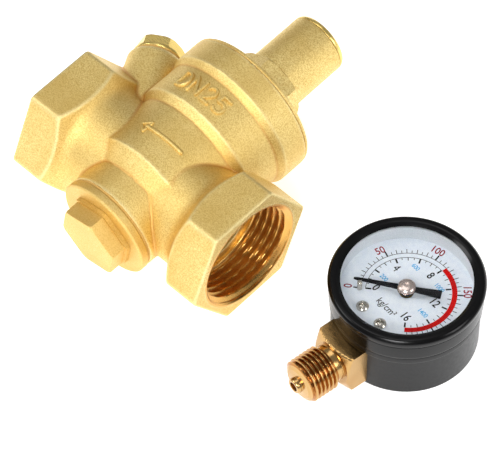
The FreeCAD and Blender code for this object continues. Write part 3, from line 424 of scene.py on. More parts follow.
def profile_distance(a, r, outline):
    """Signed distance to a turned outline of (station, radius) corners closed along the axis."""
    corners = [(outline[0][0], -5.0)] + list(outline) + [(outline[-1][0], -5.0)]
    best = np.full(a.shape, 1e9)
    inside = np.zeros(a.shape, bool)
    count = len(corners)
    for i in range(count):
        (a0, r0), (a1, r1) = corners[i], corners[(i + 1) % count]
        da, dr = a1 - a0, r1 - r0
        t = np.clip(((a - a0) * da + (r - r0) * dr) / (da * da + dr * dr), 0.0, 1.0)
        best = np.minimum(best, (a - a0 - t * da) ** 2 + (r - r0 - t * dr) ** 2)
        if a0 != a1:
            hit = (a0 <= a) != (a1 <= a)
            inside ^= hit & (r < r0 + (a - a0) * dr / da)
    return np.where(inside, -1.0, 1.0) * np.sqrt(best)


BARREL = [(-17.8, 15.5), (-9.6, 15.6), (-4.6, 19.6), (13.0, 19.7), (15.7, 21.35), (27.0, 21.3),
          (29.2, 22.65), (37.2, 22.7)]
END_FLATS = 38.0
NECK_R = 15.9
CONE_START, CONE_SLOPE = 21.6, 1.42
PORT_X = -13.3
PORT_LEAN = math.radians(30.0)
PORT_FACE = 34.3
PORT_R, PORT_BORE_R, PORT_WAY_R = 8.7, 5.72, 3.0
CHAMBER_R, SEAT_R, CYLINDER_R, MOUTH_R = 12.0, 9.65, 15.5, 19.0
PASSAGE_R, HALF_MOON_R, THREAD_ROOM_R = 13.0, 12.6, 17.0
BORE_DEPTH = 13.5
WEB = 1.7


def end_field(x, y, z, side):
    """One flow end: hexagon with rounded cast corners, its back turned off by a cone."""
    s = x * side
    half = END_FLATS / 2.0
    c, w = 0.5, math.sqrt(0.75)
    flats = smooth_max(smooth_max(np.abs(z), np.abs(w * y + c * z), 0.9),
                       np.abs(w * y - c * z), 0.9) - half
    r = np.sqrt(y * y + z * z)
    cone = (r - (NECK_R + (s - CONE_START) * CONE_SLOPE)) / math.sqrt(1.0 + CONE_SLOPE ** 2)
    back = smooth_max(flats, cone, 0.55)
    return smooth_max(back, s - HALF, 0.5)


def port_places(x, y, z):
    """(a, r) about the gauge port: a along its leaning axis, r the distance from it."""
    a = (x - PORT_X) * -math.sin(PORT_LEAN) + y * math.cos(PORT_LEAN)
    across = (x - PORT_X) * math.cos(PORT_LEAN) + y * math.sin(PORT_LEAN)
    return a, np.sqrt(across * across + z * z)


def outside_field(x, y, z):
    """Outer shape: barrel, neck, two ends and port, blended as a casting's fillets are."""
    axis_r = np.sqrt(x * x + z * z)
    barrel = profile_distance(y, axis_r, BARREL)
    flow_r = np.sqrt(y * y + z * z)
    neck = tube_distance(x, flow_r, -24.0, 24.0, NECK_R)
    whole = smooth_min(barrel, neck, 0.5)
    along_port, port_r = port_places(x, y, z)
    port = tube_distance(along_port, port_r, 8.0, PORT_FACE, PORT_R, 1.6)
    ends = smooth_min(whole, end_field(x, y, z, 1), 2.6)
    ends = smooth_min(ends, end_field(x, y, z, -1), 2.6)
    return smooth_min(ends, port, 0.8)


def hollow_field(x, y, z):
    """Everything machined or cored out: chambers, seat, cylinder, mouths, passages, port ways."""
    axis_r = np.sqrt(x * x + z * z)
    flow_r = np.sqrt(y * y + z * z)
    low = tube_distance(y, axis_r, -30.0, -WEB, CHAMBER_R)
    high = tube_distance(y, axis_r, WEB, 15.0, CHAMBER_R)
    seat = tube_distance(y, axis_r, -3.0, 3.0, SEAT_R)
    cylinder = tube_distance(y, axis_r, 14.0, 28.0, CYLINDER_R)
    mouth = tube_distance(y, axis_r, 27.5, 45.0, MOUTH_R)
    field = np.minimum(np.minimum(np.minimum(low, high), np.minimum(cylinder, mouth)), seat)
    for side in (1, -1):
        s = x * side
        bore = tube_distance(s, flow_r, HALF - BORE_DEPTH, HALF + 6.0, THREAD_ROOM_R, 0.2)
        way = tube_distance(s, flow_r, 13.4, HALF, PASSAGE_R)
        half = smooth_max(tube_distance(s, flow_r, 0.0, 14.0, HALF_MOON_R), (y + WEB) * side, 0.5)
        field = np.minimum(np.minimum(field, bore), np.minimum(way, half))
    along_port, port_r = port_places(x, y, z)
    field = np.minimum(field, tube_distance(along_port, port_r, 24.3, 40.0, PORT_BORE_R))
    return np.minimum(field, tube_distance(along_port, port_r, 11.0, 26.0, PORT_WAY_R))


def body_field(x, y, z):
    """The casting: its outer shape less its hollows, edges broken by a quarter millimetre."""
    return smooth_max(outside_field(x, y, z), -hollow_field(x, y, z), 0.25)


def gradient(field, p, step=0.02):
    """Unit gradient and its size by central differences."""
    grads = []
    for k in range(3):
        d = np.zeros(3)
        d[k] = step
        a, b = p + d, p - d
        grads.append(field(a[:, 0], a[:, 1], a[:, 2]) - field(b[:, 0], b[:, 1], b[:, 2]))
    g = np.stack(grads, 1) / (2.0 * step)
    return g / np.maximum(np.linalg.norm(g, axis=1, keepdims=True), 1e-6), np.linalg.norm(g, axis=1)


def surface_nets(field, low, high, cell):
    """Closed surface of field = 0: one vertex per mixed cell at the mean of its edge crossings,
    one quad per crossed grid edge, then each vertex slid onto the surface along the gradient."""
    axes = [np.arange(a, b + cell, cell) for a, b in zip(low, high)]
    gx, gy, gz = np.meshgrid(*axes, indexing="ij")
    f = field(gx, gy, gz)
    n = np.array(f.shape)
    inside = f < 0.0
    total = np.zeros((*(n - 1), 3), np.float64)
    hits = np.zeros(n - 1, np.int32)
    offsets = [(i, j, k) for i in (0, 1) for j in (0, 1) for k in (0, 1)]
    for a in offsets:
        for axis in range(3):
            if a[axis]:
                continue
            b = tuple(v + (1 if q == axis else 0) for q, v in enumerate(a))
            fa = f[a[0]:n[0] - 1 + a[0], a[1]:n[1] - 1 + a[1], a[2]:n[2] - 1 + a[2]]
            fb = f[b[0]:n[0] - 1 + b[0], b[1]:n[1] - 1 + b[1], b[2]:n[2] - 1 + b[2]]
            crossed = (fa < 0) != (fb < 0)
            t = np.where(crossed, fa / np.where(crossed, fa - fb, 1.0), 0.0)
            for q in range(3):
                total[..., q] += crossed * (a[q] + (t if q == axis else 0.0))
            hits += crossed
    mixed = hits > 0
    index = np.full(mixed.shape, -1, np.int64)
    index[mixed] = np.arange(mixed.sum())
    cells = np.argwhere(mixed)
    points = np.array(low) + (cells + total[mixed] / hits[mixed][:, None]) * cell
    faces = []
    for axis in range(3):
        a = np.take(inside, range(n[axis] - 1), axis)
        b = np.take(inside, range(1, n[axis]), axis)
        edges = np.argwhere(a != b)
        q, r = (axis + 1) % 3, (axis + 2) % 3
        keep = (edges[:, q] > 0) & (edges[:, r] > 0) & (edges[:, q] < n[q] - 1) & (edges[:, r] < n[r] - 1)
        edges = edges[keep]
        ring = []
        for dq, dr in ((0, 0), (-1, 0), (-1, -1), (0, -1)):
            e = edges.copy()
            e[:, q] += dq
            e[:, r] += dr
            ring.append(index[e[:, 0], e[:, 1], e[:, 2]])
        quads = np.stack(ring, 1)
        flip = a[edges[:, 0], edges[:, 1], edges[:, 2]]
        quads[~flip] = quads[~flip][:, ::-1]
        faces.append(quads)
    for _ in range(4):
        g, size = gradient(field, points)
        value = field(points[:, 0], points[:, 1], points[:, 2])
        points = points - g * np.clip(value / np.maximum(size, 0.5), -0.3, 0.3)[:, None]
    return points, np.concatenate(faces)


BODY_CELL, QUICK_CELL = 0.55, 1.1
TRIANGLE_LIMIT, TRIANGLE_GOAL = 190000, 185000.0


def cast_body():
    """The casting's surface, thinned a little where it has too many triangles."""
    cell = BODY_CELL
    points, quads = surface_nets(body_field, (-38.2, -23.1, -23.1), (38.2, 38.6, 23.4), cell)
    data = bpy.data.meshes.new("field_draft")
    data.from_pydata(points.tolist(), [], quads.tolist())
    draft = bpy.data.objects.new("field_draft", data)
    scene.collection.objects.link(draft)
    triangles = 2 * len(quads)
    if triangles > TRIANGLE_LIMIT:
        thin = draft.modifiers.new("thin", "DECIMATE")
        thin.ratio = TRIANGLE_GOAL / triangles
    graph = bpy.context.evaluated_depsgraph_get()
    done = draft.evaluated_get(graph).to_mesh()
    p = np.array([v.co for v in done.vertices], float)
    faces = [tuple(f.vertices) for f in done.polygons]
    draft.evaluated_get(graph).to_mesh_clear()
    bpy.data.objects.remove(draft)
    normals, _ = gradient(body_field, p)
    piece = mesh_object("cast_valve_body", p, faces, VALVE, "cast_brass", "valve",
                        replaces=("valve_body",), normals=normals)
    # the rounding values drive the painted highlight on outer edges and the painted shade in hollows
    painted_light_and_shade = piece.data.attributes.new("rounding", "FLOAT", "POINT")
    painted_light_and_shade.data.foreach_set("value", rounding(body_field, p, normals))


def rounding(field, p, normals, reach=0.9):
    """How far the surface falls away within reach of each point: + on an outer edge, - in a
    hollow corner, from the field's mean at four points round it in the tangent plane."""
    seed = np.where(np.abs(normals[:, :1]) < 0.8, np.array([[1.0, 0.0, 0.0]]), np.array([[0.0, 1.0, 0.0]]))
    one = np.cross(normals, seed)
    one /= np.linalg.norm(one, axis=1, keepdims=True)
    two = np.cross(normals, one)
    total = np.zeros(len(p))
    for way in (one, -one, two, -two):
        q = p + way * reach
        total += field(q[:, 0], q[:, 1], q[:, 2])
    return np.clip(total / (4.0 * reach) * 3.0, -1.0, 1.0)


# ---------------------------------------------------------------- threads

def thread_profile(phase):
    """Height 0..1 of a rounded 55 degree thread over one turn."""
    t = np.abs(np.mod(phase, 1.0) - 0.5) * 2.0
    return np.clip((t - 0.14) / 0.72, 0.0, 1.0)


def bore_thread(name, side):
    """Threaded sleeve in a mouth: r(u, x) = minor + depth * profile(x / pitch - u / turn), opened by
    the mouth's chamfer and closed behind by a plain outer wall."""
    pitch, minor, major, outer = 2.309, 15.15, 16.62, 17.3
    count = 144
    u = np.linspace(0.0, 2.0 * math.pi, count, endpoint=False)
    stations = np.linspace(HALF - 0.02, HALF - 13.6, 130)
    rows = []
    for x in stations:
        phase = x / pitch - u * side / (2.0 * math.pi)
        r = minor + (major - minor) * thread_profile(phase)
        fade = np.clip((x - (HALF - 12.6)) / 1.2, 0.0, 1.0)
        r = minor + (r - minor) * fade
        r = np.maximum(r, 16.85 - (HALF - x))
        rows.append(np.stack([np.full(count, x * side), r * np.cos(u), r * np.sin(u)], 1))
    for x in (stations[-1], stations[0]):
        rows.append(np.stack([np.full(count, x * side), outer * np.cos(u), outer * np.sin(u)], 1))
    points = np.concatenate(rows)
    faces = outward(points, grid_faces(len(rows), count, True))
    mesh_object(name, points, faces, VALVE, "cast_brass", "valve", MATERIALS["bore_brass"])


STEM_PITCH, STEM_MINOR, STEM_MAJOR, RELIEF_R = 1.337, 5.72, 6.58, 5.45
THREAD_IN, THREAD_OUT, THREAD_FADE = 28.1, 37.5, 0.9


def male_thread_rows():
    """Rows of the stem's thread about Z: r(u, d) = relief + (minor + depth * profile(d / pitch + u / turn)
    - relief) * fade, the fade running out over THREAD_FADE at both ends."""
    def radius(u, station):
        turn = thread_profile(station / STEM_PITCH + u / (2.0 * math.pi))
        r = STEM_MINOR + (STEM_MAJOR - STEM_MINOR) * turn
        lead = np.clip((THREAD_OUT - station) / THREAD_FADE, 0.0, 1.0)
        tail = np.clip((station - THREAD_IN) / THREAD_FADE, 0.0, 1.0)
        return RELIEF_R + (r - RELIEF_R) * np.minimum(np.sqrt(lead), tail)

    return [(float(d), radius) for d in np.linspace(THREAD_IN, THREAD_OUT, 150)]


# ---------------------------------------------------------------- valve pieces

def bonnet_pieces():
    """Bonnet: bevelled flange, hexagon and spring tube in one turning, and the ring in its end."""
    flats = 20.0
    first = math.radians(30.0)
    corner = flats / math.sqrt(3.0)

    def cap(y):
        return min(corner + 0.2, 10.5 + (47.35 - y) * 1.25)

    rows = softened([(29.4, 14.5), (29.4, 18.9), (37.28, 18.9), (37.28, 22.6), (37.9, 22.6),
                     (38.45, 22.1), (40.35, 13.0), (40.36, 12.4)], 0.16, 3)[:-1]
    hexagon = hexagon_radius(flats, cap, first)
    for y in (40.1, 40.36, 42.0, 44.0, 45.2, 45.8, 46.2, 46.6, 46.9, 47.1, 47.25):
        rows.append((y, hexagon))
    rows += [(47.32, 9.9), (47.34, 9.6), (47.3, 9.3), (47.62, 9.3), (47.66, 9.45)]
    rows += softened([(48.0, 9.45), (65.3, 9.45), (65.45, 9.3), (65.45, 7.65), (38.0, 7.65),
                      (37.3, 7.65), (37.3, 14.5), (29.6, 14.5)], 0.1, 2)
    rows.append(rows[0])
    turned_piece("bonnet_cover", rows, VALVE, "bonnet_brass", "valve", replaces=("bonnet",), count=180)
    ring = softened([(63.4, 5.0), (63.4, 7.6), (65.52, 7.6), (65.52, 9.42), (66.2, 9.42),
                     (67.0, 8.95), (67.0, 5.3), (66.6, 5.0), (64.0, 5.0)], 0.14, 3)
    ring.append(ring[0])
    turned_piece("tube_end_ring", ring, VALVE, "turned_brass", "valve", replaces=("end_ring",))


def bottom_plug_piece():
    """Plug: chamfered hexagon on a low pad, flange, and the hollow threaded part inside."""
    flats = 19.0
    corner = flats / math.sqrt(3.0)
    first = math.radians(46.0)

    def cap(y):
        return min(corner + 0.2, 10.35 + (y + 27.3) * 1.2)

    hexagon = hexagon_radius(flats, cap, first)
    pad = hexagon_radius(20.9, 11.45, first, 0.5)
    rows = [(-27.3, 0), (-27.3, 5.0), (-27.3, 8.6), (-27.29, 9.2)]
    for y in (-27.2, -27.05, -26.9, -26.7, -26.4, -26.0, -25.5, -24.5, -23.5, -22.55):
        rows.append((y, hexagon))
    rows += [(-22.5, pad), (-22.3, pad), (-21.25, pad)]
    rows += softened([(-21.2, 9.0), (-21.2, 15.1), (-20.75, 15.56), (-18.7, 15.56), (-18.3, 15.1),
                      (-18.3, 11.9), (-12.0, 11.9), (-11.6, 11.5), (-11.6, 5.98), (-22.4, 5.98)], 0.1, 3)
    rows.append((-22.4, 0))
    turned_piece("bottom_plug_turned", rows, VALVE, "turned_brass", "valve",
                 replaces=("bottom_plug",), count=180, material=MATERIALS["plug_brass"])


def port_plug_piece():
    """Small plug: thread, washer face and hexagon head along the port's axis."""
    low = PORT_FACE + 0.7
    head = PORT_FACE + 2.0
    top = head + 3.2
    flats = 13.0
    corner = flats / math.sqrt(3.0)

    def cap(s):
        return min(corner + 0.15, 6.75 + (top - s) * 1.3)

    hexagon = hexagon_radius(flats, cap, 0.0, 0.2)
    rows = [(PORT_FACE - 7.5, 0)]
    rows += softened([(PORT_FACE - 7.5, 5.0), (PORT_FACE - 7.0, 5.67), (low, 5.67), (low, 7.35),
                      (low + 0.3, 7.6), (head - 0.3, 7.6), (head, 7.3), (head, 6.2)], 0.1, 3)
    for s in np.concatenate([np.linspace(head, top - 1.0, 4), np.linspace(top - 0.85, top - 0.05, 7)]):
        rows.append((float(s), hexagon))
    rows += [(top, 6.3), (top, 5.8), (top, 0)]
    place = VALVE @ Matrix.Translation((PORT_X, 0, 0)) @ Matrix.Rotation(PORT_LEAN, 4, "Z")
    turned_piece("port_plug_turned", rows, place, "turned_brass", "valve",
                 replaces=("gauge_port_plug",), count=144)


# ---------------------------------------------------------------- raised marks

def stroke(points, width, height, base, surface):
    """A raised bead along a path on the barrel: cross-section w(v) = width cos v, h(v) = height sin v
    over v in 0..180 degrees, standing on surface(x, y) -> (point, normal)."""
    path = np.asarray(points, float)
    dense = [path[0]]
    for a, b in zip(path[:-1], path[1:]):
        steps = max(int(np.linalg.norm(b - a) / 0.25), 1)
        dense += [a + (b - a) * k / steps for k in range(1, steps + 1)]
    dense = np.array(dense)
    tangents = np.gradient(dense, axis=0)
    tangents /= np.maximum(np.linalg.norm(tangents, axis=1, keepdims=True), 1e-9)
    sides = np.stack([-tangents[:, 1], tangents[:, 0]], 1)
    length = len(dense)
    profile = np.array([(-1.0, -base), (-1.0, 0.0), (-0.86, 0.55 * height), (-0.5, 0.9 * height),
                        (0.0, height), (0.5, 0.9 * height), (0.86, 0.55 * height), (1.0, 0.0), (1.0, -base)])
    across, up = profile.T
    half = width / 2.0
    place = np.concatenate([[0], np.arange(length), [length - 1]])
    end = np.concatenate([[-1.0], np.zeros(length), [1.0]])[:, None]
    centre = dense[place] + tangents[place] * half * 0.8 * end
    reach = across * half * np.where(end, 0.45, 1.0)
    at = centre[:, None] + sides[place][:, None] * reach[..., None]
    rise = up * np.where((end != 0.0) & (up > 0.0), 0.35, 1.0)
    point, normal = surface(at[..., 0], at[..., 1])
    count = len(profile)
    faces = grid_faces(length + 2, count)
    faces.append(tuple(range(count)))
    faces.append(tuple(reversed(range((length + 1) * count, (length + 2) * count))))
    return (point + normal * rise[..., None]).reshape(-1, 3), faces


def joined(pieces):
    """Several (points, faces) as one, each turned outwards first."""
    points, faces, base = [], [], 0
    for p, f in pieces:
        f = outward(p, f)
        faces += [tuple(base + k for k in face) for face in f]
        points.append(p)
        base += len(p)
    return np.concatenate(points), faces


def on_barrel(radius):
    """Wraps (x, y) on the barrel: x is measured round it, y along it."""
    def surface(x, y):
        turn = x / radius
        normal = np.stack([np.sin(turn), np.zeros_like(turn), np.cos(turn)], -1)
        return np.stack([radius * np.sin(turn), y, radius * np.cos(turn)], -1), normal
    return surface


def arc_points(cx, cy, rx, ry, start, end, steps=14):
    """Points (cx + rx cos a, cy + ry sin a) for a from start to end in degrees."""
    return [(cx + rx * math.cos(math.radians(a)), cy + ry * math.sin(math.radians(a)))
            for a in np.linspace(start, end, steps)]


def raised_marks():
    """Flow arrow on the barrel's waist and the size mark on its wider part."""
    barrel = on_barrel(19.65)
    shaft = stroke([(8.4, 4.2), (-5.0, 3.75)], 1.3, 0.62, 1.2, barrel)
    barb_a = stroke([(-7.2, 3.7), (-4.4, 5.7)], 0.9, 0.5, 1.2, barrel)
    barb_b = stroke([(-7.2, 3.7), (-4.6, 1.9)], 0.9, 0.5, 1.2, barrel)
    barb_c = stroke([(-4.4, 5.7), (-4.6, 1.9)], 0.8, 0.45, 1.2, barrel)
    points, faces = joined([shaft, barb_a, barb_b, barb_c])
    mesh_object("flow_arrow_relief", points, faces, VALVE, "cast_brass", "valve")
    band = on_barrel(21.25)
    low, high = 19.3, 24.5
    middle = (low + high) / 2.0
    rise = (high - low) / 2.0
    letters = [
        [(-9.6, low), (-9.6, high)],
        [(-9.6, high)] + arc_points(-8.3, middle, 2.0, rise, 80, -80) + [(-9.6, low)],
        [(-4.6, low), (-4.6, high), (-1.2, low), (-1.2, high)],
        arc_points(1.9, high - 1.5, 1.35, 1.5, 165, -35) + [(0.6, low), (3.4, low)],
        [(8.0, high), (5.3, high), (5.1, middle + 0.35)]
        + arc_points(6.3, low + 1.55, 1.65, 1.6, 125, -150),
    ]
    points, faces = joined([stroke(l, 1.2, 0.8, 1.0, band) for l in letters])
    mesh_object("size_mark_relief", points, faces, VALVE, "cast_brass", "valve")


# ---------------------------------------------------------------- gauge pieces

def gauge_shell():
    """Case cup with its rolled bead, and the bezel with a groove and an inner lip."""
    case = softened([(0.0, 14.0), (0.0, 19.6), (1.3, 20.74), (15.4, 20.74), (15.75, 21.2), (17.9, 21.25),
                     (17.95, 20.74), (23.7, 20.74), (23.7, 19.74), (1.2, 19.74), (1.2, 14.0)], 0.4, 4)
    rows = [(0.0, 0)] + case + [(1.2, 0)]
    turned_piece("gauge_case_cup", rows, GAUGE, "black_paint", "gauge", "Z", ("gauge_case",), 180)
    ring = softened([(18.02, 20.8), (18.02, 21.3), (18.5, 21.42), (23.1, 21.5), (23.35, 21.3),
                     (23.6, 21.72), (25.2, 21.8), (26.1, 21.0), (26.1, 19.4), (25.32, 18.22),
                     (25.29, 18.3), (25.29, 20.8)], 0.4, 5)
    ring.append(ring[0])
    turned_piece("gauge_bezel_ring", ring, GAUGE, "bezel_paint", "gauge", "Z", ("gauge_bezel",), 180)


STEM_UP = 9.5
BLOCK_OUT = 26.3


def gauge_stem_piece():
    """Nozzle, thread, relief and square block turned about the stem's axis, plus the socket."""
    def square(cap):
        def radius(u, station):
            turn = np.mod(u + math.pi / 4.0, math.pi / 2.0) - math.pi / 4.0
            flat = 7.05 / np.cos(turn)
            limit = cap(station)
            h = np.maximum(0.3 - np.abs(flat - limit), 0.0) / 0.3
            return np.minimum(flat, limit) - h * h * 0.3 / 4.0
        return radius

    block = square(lambda d: 7.0 + (BLOCK_OUT - d) * 1.95)
    rows = [(15.5, 1.4), (15.5, 4.0), (19.0, 4.0)]
    rows += [(d, block) for d in (19.0, 20.0, 22.0, 24.0, 24.7, 24.9, 25.2, 25.5, 25.8, 26.1, BLOCK_OUT)]
    rows += softened([(26.35, 6.4), (BLOCK_OUT, 5.5), (28.0, RELIEF_R), (THREAD_IN, RELIEF_R)], 0.2, 3)
    rows += male_thread_rows()
    rows += softened([(THREAD_OUT, 5.4), (38.0, 4.6), (38.1, 2.35), (39.2, 2.35), (39.6, 2.1), (39.6, 1.4),
                      (30.0, 1.4)], 0.12, 3)
    rows.append(rows[0])
    points, faces = lathe(rows, 192)
    turned = np.stack([points[:, 0], -points[:, 2], points[:, 1] + STEM_UP], 1)
    x0, y0, z0, x1, y1, z1 = -6.2, -19.1, 3.0, 6.2, -8.5, 11.0
    corners = np.array([(x, y, z) for x in (x0, x1) for y in (y0, y1) for z in (z0, z1)], float)
    sides = [(0, 1, 3, 2), (4, 6, 7, 5), (0, 4, 5, 1), (2, 3, 7, 6), (0, 2, 6, 4), (1, 5, 7, 3)]
    points, faces = joined([(turned, faces), (corners, sides)])
    piece = mesh_object("gauge_stem_turned", points, faces, GAUGE, "stem_brass", "gauge",
                        replaces=("gauge_stem",))
    out, radius = -points[:, 1], np.hypot(points[:, 0], points[:, 2] - STEM_UP)
    # depth below the thread's crests, used to paint shade into its grooves
    threaded = (out > 28.0) & (out < 37.4)
    deep = np.where(threaded, np.clip((STEM_MAJOR - radius) / 0.8, 0.0, 1.0), 0.0)
    data = piece.data.attributes.new("groove", "FLOAT", "POINT")
    data.data.foreach_set("value", deep)


PRINT_LOW, PRINT_HIGH = 19.29, 19.33
PRINT_CENTRE = np.array((0.35, 0.45, 0.0))
ZERO = math.radians(225.0)
SWEEP = math.radians(270.0)


def dial_angle(value, full):
    """Where a value stands on a scale that ends at full."""
    return ZERO - SWEEP * value / full


def sector_slab(r0, r1, a0, a1):
    """Flat piece of a ring between two angles: the corners (r0, low), (r1, low), (r1, high),
    (r0, high) carried round as (r cos a, r sin a, z)."""
    steps = max(int(abs(a1 - a0) / 0.03), 1)
    a = np.linspace(a0, a1, steps + 1)[:, None]
    r = np.array([r0, r1, r1, r0])
    z = np.array([PRINT_LOW, PRINT_LOW, PRINT_HIGH, PRINT_HIGH])
    points = np.stack([r * np.cos(a), r * np.sin(a), z + 0.0 * a], -1).reshape(-1, 3)
    faces = grid_faces(steps + 1, 4)
    faces += [(0, 1, 2, 3), tuple(4 * steps + k for k in (3, 2, 1, 0))]
    return points, faces


def tick(angle, r0, r1, width):
    """Thin radial box between two radii."""
    c, s = math.cos(angle), math.sin(angle)
    half = width / 2.0
    points = [(r * c - w * s, r * s + w * c, z) for z in (PRINT_LOW, PRINT_HIGH)
              for r, w in ((r0, -half), (r1, -half), (r1, half), (r0, half))]
    faces = [(0, 3, 2, 1), (4, 5, 6, 7), (0, 1, 5, 4), (1, 2, 6, 5), (2, 3, 7, 6), (3, 0, 4, 7)]
    return np.array(points), faces


def graduations(count, step, full, every, edge, kinds):
    """Ticks that start at the edge radius: (reach, width) is the first kind each so many steps,
    the second kind at each other step, and the third kind between them."""
    ticks = []
    for k in range(count):
        reach, width = kinds[0 if k % every == 0 else 1 if k % 2 == 0 else 2]
        ticks.append(tick(dial_angle(k * step, full), min(edge, reach), max(edge, reach), width))
    return ticks


def printed_text(text, height, radius, angle, turn, squeeze, bold):
    """Text as a thin closed mesh, centred at a polar place on the dial, its up way at turn."""
    curve = bpy.data.curves.new("lettering", "FONT")
    curve.body = text
    curve.size = 1.0
    curve.align_x = "CENTER"
    curve.align_y = "CENTER"
    curve.extrude = 0.01
    curve.offset = bold
    curve.resolution_u = 4
    draft = bpy.data.objects.new("lettering", curve)
    scene.collection.objects.link(draft)
    graph = bpy.context.evaluated_depsgraph_get()
    made = draft.evaluated_get(graph).to_mesh()
    p = np.array([v.co for v in made.vertices], float)
    faces = [tuple(f.vertices) for f in made.polygons]
    draft.evaluated_get(graph).to_mesh_clear()
    bpy.data.objects.remove(draft)
    span = p[:, 1].max() - p[:, 1].min()
    middle = (p.max(0) + p.min(0)) / 2.0
    k = height / span
    x = (p[:, 0] - middle[0]) * k * squeeze
    y = (p[:, 1] - middle[1]) * k
    z = np.where(p[:, 2] > middle[2], PRINT_HIGH, PRINT_LOW)
    c, s = math.cos(turn - math.pi / 2.0), math.sin(turn - math.pi / 2.0)
    cx, cy = radius * math.cos(angle), radius * math.sin(angle)
    return np.stack([cx + x * c - y * s, cy + x * s + y * c, z], 1), faces


def dial_print():
    """Two scales on one ring, a red band over the upper half, and the numerals."""
    inner_full, outer_full, band_from = 16.0, 227.6, 8.05
    zero, limit, end = (dial_angle(value, inner_full) for value in (0, band_from, 16))
    rings = [sector_slab(11.78, 11.92, zero, limit), sector_slab(13.28, 13.42, zero, limit)]
    band = [sector_slab(11.95, 13.4, limit, end)]
    rings += graduations(33, 0.5, inner_full, 4, 11.85, ((10.25, 0.46), (10.8, 0.22), (11.1, 0.17)))
    rings += graduations(46, 5.0, outer_full, 10, 13.4, ((15.2, 0.42), (14.75, 0.19), (14.3, 0.17)))
    up = math.pi / 2.0
    black, red, blue = [], [], []
    for text, radius, angle in (("0", 8.4, 220.0), ("4", 8.6, 158.4), ("8", 8.9, 91.1), ("12", 8.65, 26.6),
                                ("16", 8.27, 319.9)):
        bold = 0.0 if text == "4" else 0.012     # thickened, the eye of the 4 would close
        black.append(printed_text(text, 2.55, radius, math.radians(angle), up, 0.8, bold))
    black.append(printed_text("kg/cm²", 2.75, 7.75, math.radians(274.0), up, 0.88, 0.004))
    for text, radius, angle in (("0", 16.2, 223.6), ("50", 15.9, 167.6), ("100", 16.8, 108.1),
                                ("150", 16.8, 51.1), ("200", 16.6, 347.7)):
        turn = math.radians(angle)
        red.append(printed_text(text, 2.35, radius, turn, turn, 0.86, 0.012))
    for text, radius, angle in (("200", 7.8, 192.0), ("600", 9.0, 123.3), ("1000", 9.3, 60.3),
                                ("1400", 8.3, 353.3)):
        blue.append(printed_text(text, 1.45, radius, math.radians(angle), up, 0.85, 0.015))
    for name, pieces, ink, shift in (("dial_marks_black", rings, "black", PRINT_CENTRE),
                                     ("dial_band_red", band, "red", PRINT_CENTRE),
                                     ("dial_numerals_black", black, "black", 0.0),
                                     ("dial_numerals_red", red, "dark_red", 0.0),
                                     ("dial_numerals_blue", blue, "blue", 0.0)):
        points, faces = joined(pieces)
        piece = mesh_object(name, points + shift, faces, GAUGE, "dial_paint", "gauge", INK[ink])
        piece.data.polygons.foreach_set("use_smooth", [False] * len(piece.data.polygons))


def dial_screw_pieces():
    """Pan heads z(r) = h (1 - (r / R)^2.6), sunk by a cross whose arms fade at their ends, on shanks."""
    count, top, high, radius, shank, deep = 96, 19.3, 1.15, 1.75, 0.8, 3.4
    u = np.linspace(0.0, 2.0 * math.pi, count, endpoint=False)
    r = np.concatenate([np.linspace(0.03, 1.7, 34), [1.74, 1.75]])[:, None]
    x, y = r * np.cos(u), r * np.sin(u)
    dome = high * (1.0 - (r / radius) ** 2.6 * 0.62) * np.ones_like(u)
    arm = np.minimum(np.maximum(np.abs(x + y), np.abs(x - y) * 0.24),
                     np.maximum(np.abs(x - y), np.abs(x + y) * 0.24))
    depth = np.clip((0.34 - arm) / 0.1, 0.0, 1.0) * 0.6
    heads = np.stack([x, y, top + dome - depth], 2).reshape(-1, 3)
    rows = len(r)
    foot = [np.stack([q * np.cos(u), q * np.sin(u), np.full(count, z)], 1)
            for q, z in ((radius, top + 0.02), (shank, top + 0.02), (shank, top - deep))]
    points = np.concatenate([heads] + foot + [[[0.0, 0.0, top - deep]], [[0.0, 0.0, top + high - 0.6]]])
    faces = grid_faces(rows + 3, count)
    last = (rows + 2) * count
    middle = (rows + 3) * count
    faces += [(middle, last + j, last + (j + 1) % count) for j in range(count)]
    faces += [(middle + 1, (j + 1) % count, j) for j in range(count)]
    pair = [(points + np.array((side * 3.75, -12.5, 0.0)), faces) for side in (-1, 1)]
    points, faces = joined(pair)
    mesh_object("dial_screw_heads", points, faces, GAUGE, "small_screw_steel", "gauge",
                replaces=("dial_screws",))


def hub_piece():
    """Cap on the pointer's arbor: a foot, a narrow groove and a dimpled dome."""
    rows = [(21.02, 0)] + softened([(21.02, 2.5), (21.45, 2.55), (21.5, 2.2), (21.75, 2.2), (21.8, 2.45),
                                    (22.3, 2.45), (22.75, 1.9), (22.95, 1.0), (22.95, 0.55),
                                    (22.7, 0.45)], 0.16, 4) + [(22.65, 0)]
    turned_piece("pointer_hub_cap", rows, GAUGE, "hub_metal", "pointer_set", "Z", ("pointer_hub",), 96)


def main():
    """Makes every piece."""
    cast_body()
    bore_thread("inlet_thread", 1)
    bore_thread("outlet_thread", -1)
    bonnet_pieces()
    bottom_plug_piece()
    port_plug_piece()
    raised_marks()
    gauge_shell()
    gauge_stem_piece()
    dial_print()
    dial_screw_pieces()
    hub_piece()


main()


# ---------------------------------------------------------------- floor, lights, camera

def floor_material():
    """White table with a faint drift of tone, lit a little from within."""
    p = Paint("table_white")
    tone = p.noise(3.0, 2.0)
    p.set(Base_Color=p.ramp(tone, [(0.4, 0.93), (0.6, 0.95)]), Roughness=0.9)
    p.bsdf.inputs["Emission Color"].default_value = (1.0, 1.0, 1.0, 1.0)
    p.bsdf.inputs["Emission Strength"].default_value = 0.62
    return p.mat


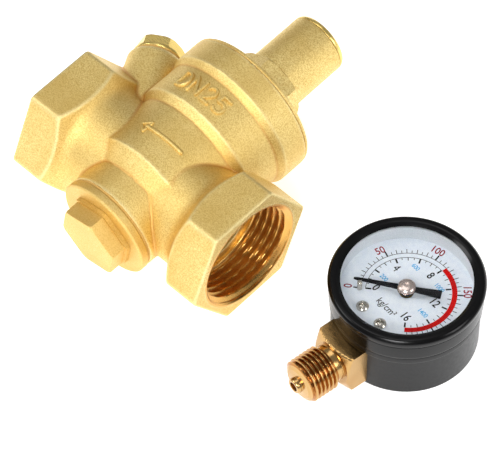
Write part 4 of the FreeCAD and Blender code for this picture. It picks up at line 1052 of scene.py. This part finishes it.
floor_data = bpy.data.meshes.new("table_top")
reach = 6.0
floor_data.from_pydata([(-reach, -reach, TABLE), (reach, -reach, TABLE), (reach, reach, TABLE),
                        (-reach, reach, TABLE)], [], [(0, 1, 2, 3)])
floor_data.materials.append(floor_material())
floor = bpy.data.objects.new("table_top", floor_data)
scene.collection.objects.link(floor)

world = bpy.data.worlds.new("studio")
scene.world = world
world.use_nodes = True
world.node_tree.nodes["Background"].inputs[0].default_value = (1.0, 1.0, 1.0, 1.0)
world.node_tree.nodes["Background"].inputs[1].default_value = 0.34

AIM = Vector(cross) + Vector((0.03, 0.02, 0.0))


def area_light(name, at, size, energy):
    """Soft round lamp at an offset from the aim point, facing it."""
    data = bpy.data.lights.new(name, "AREA")
    data.shape = "DISK"
    data.size = size
    data.energy = energy
    lamp = bpy.data.objects.new(name, data)
    lamp.location = AIM + Vector(at)
    lamp.rotation_euler = (AIM - lamp.location).to_track_quat("-Z", "Y").to_euler()
    scene.collection.objects.link(lamp)


area_light("key_light", (0.35, -0.55, 0.55), 0.32, 4.6)
area_light("side_light", (0.75, 0.25, 0.45), 0.4, 2.0)
area_light("top_light", (-0.2, 0.1, 0.9), 0.5, 1.2)
area_light("left_light", (-0.5, -0.45, 0.55), 0.4, 2.2)

scene.view_settings.view_transform = "Standard"

camera_data = bpy.data.cameras.new("camera")
SENSOR, FRAME_WIDTH, FOCAL = 36.0, 488.0, 2800.0
camera_data.sensor_width = SENSOR
camera_data.lens = FOCAL / FRAME_WIDTH * SENSOR
camera_data.clip_start = 0.01
camera_data.clip_end = 20.0
camera = bpy.data.objects.new("camera", camera_data)
eye = Vector((0.3681, -0.3230, 0.6227))
right = Vector((0.7096, 0.7044, -0.0145)).normalized()
look = Vector((-0.4342, 0.4210, -0.7964)).normalized()
up = right.cross(look).normalized()
right = look.cross(up).normalized()
camera.matrix_world = Matrix.Translation(Vector(cross) + eye) @ Matrix(
    ((right.x, up.x, -look.x), (right.y, up.y, -look.y), (right.z, up.z, -look.z))).to_4x4()
scene.collection.objects.link(camera)
scene.camera = camera
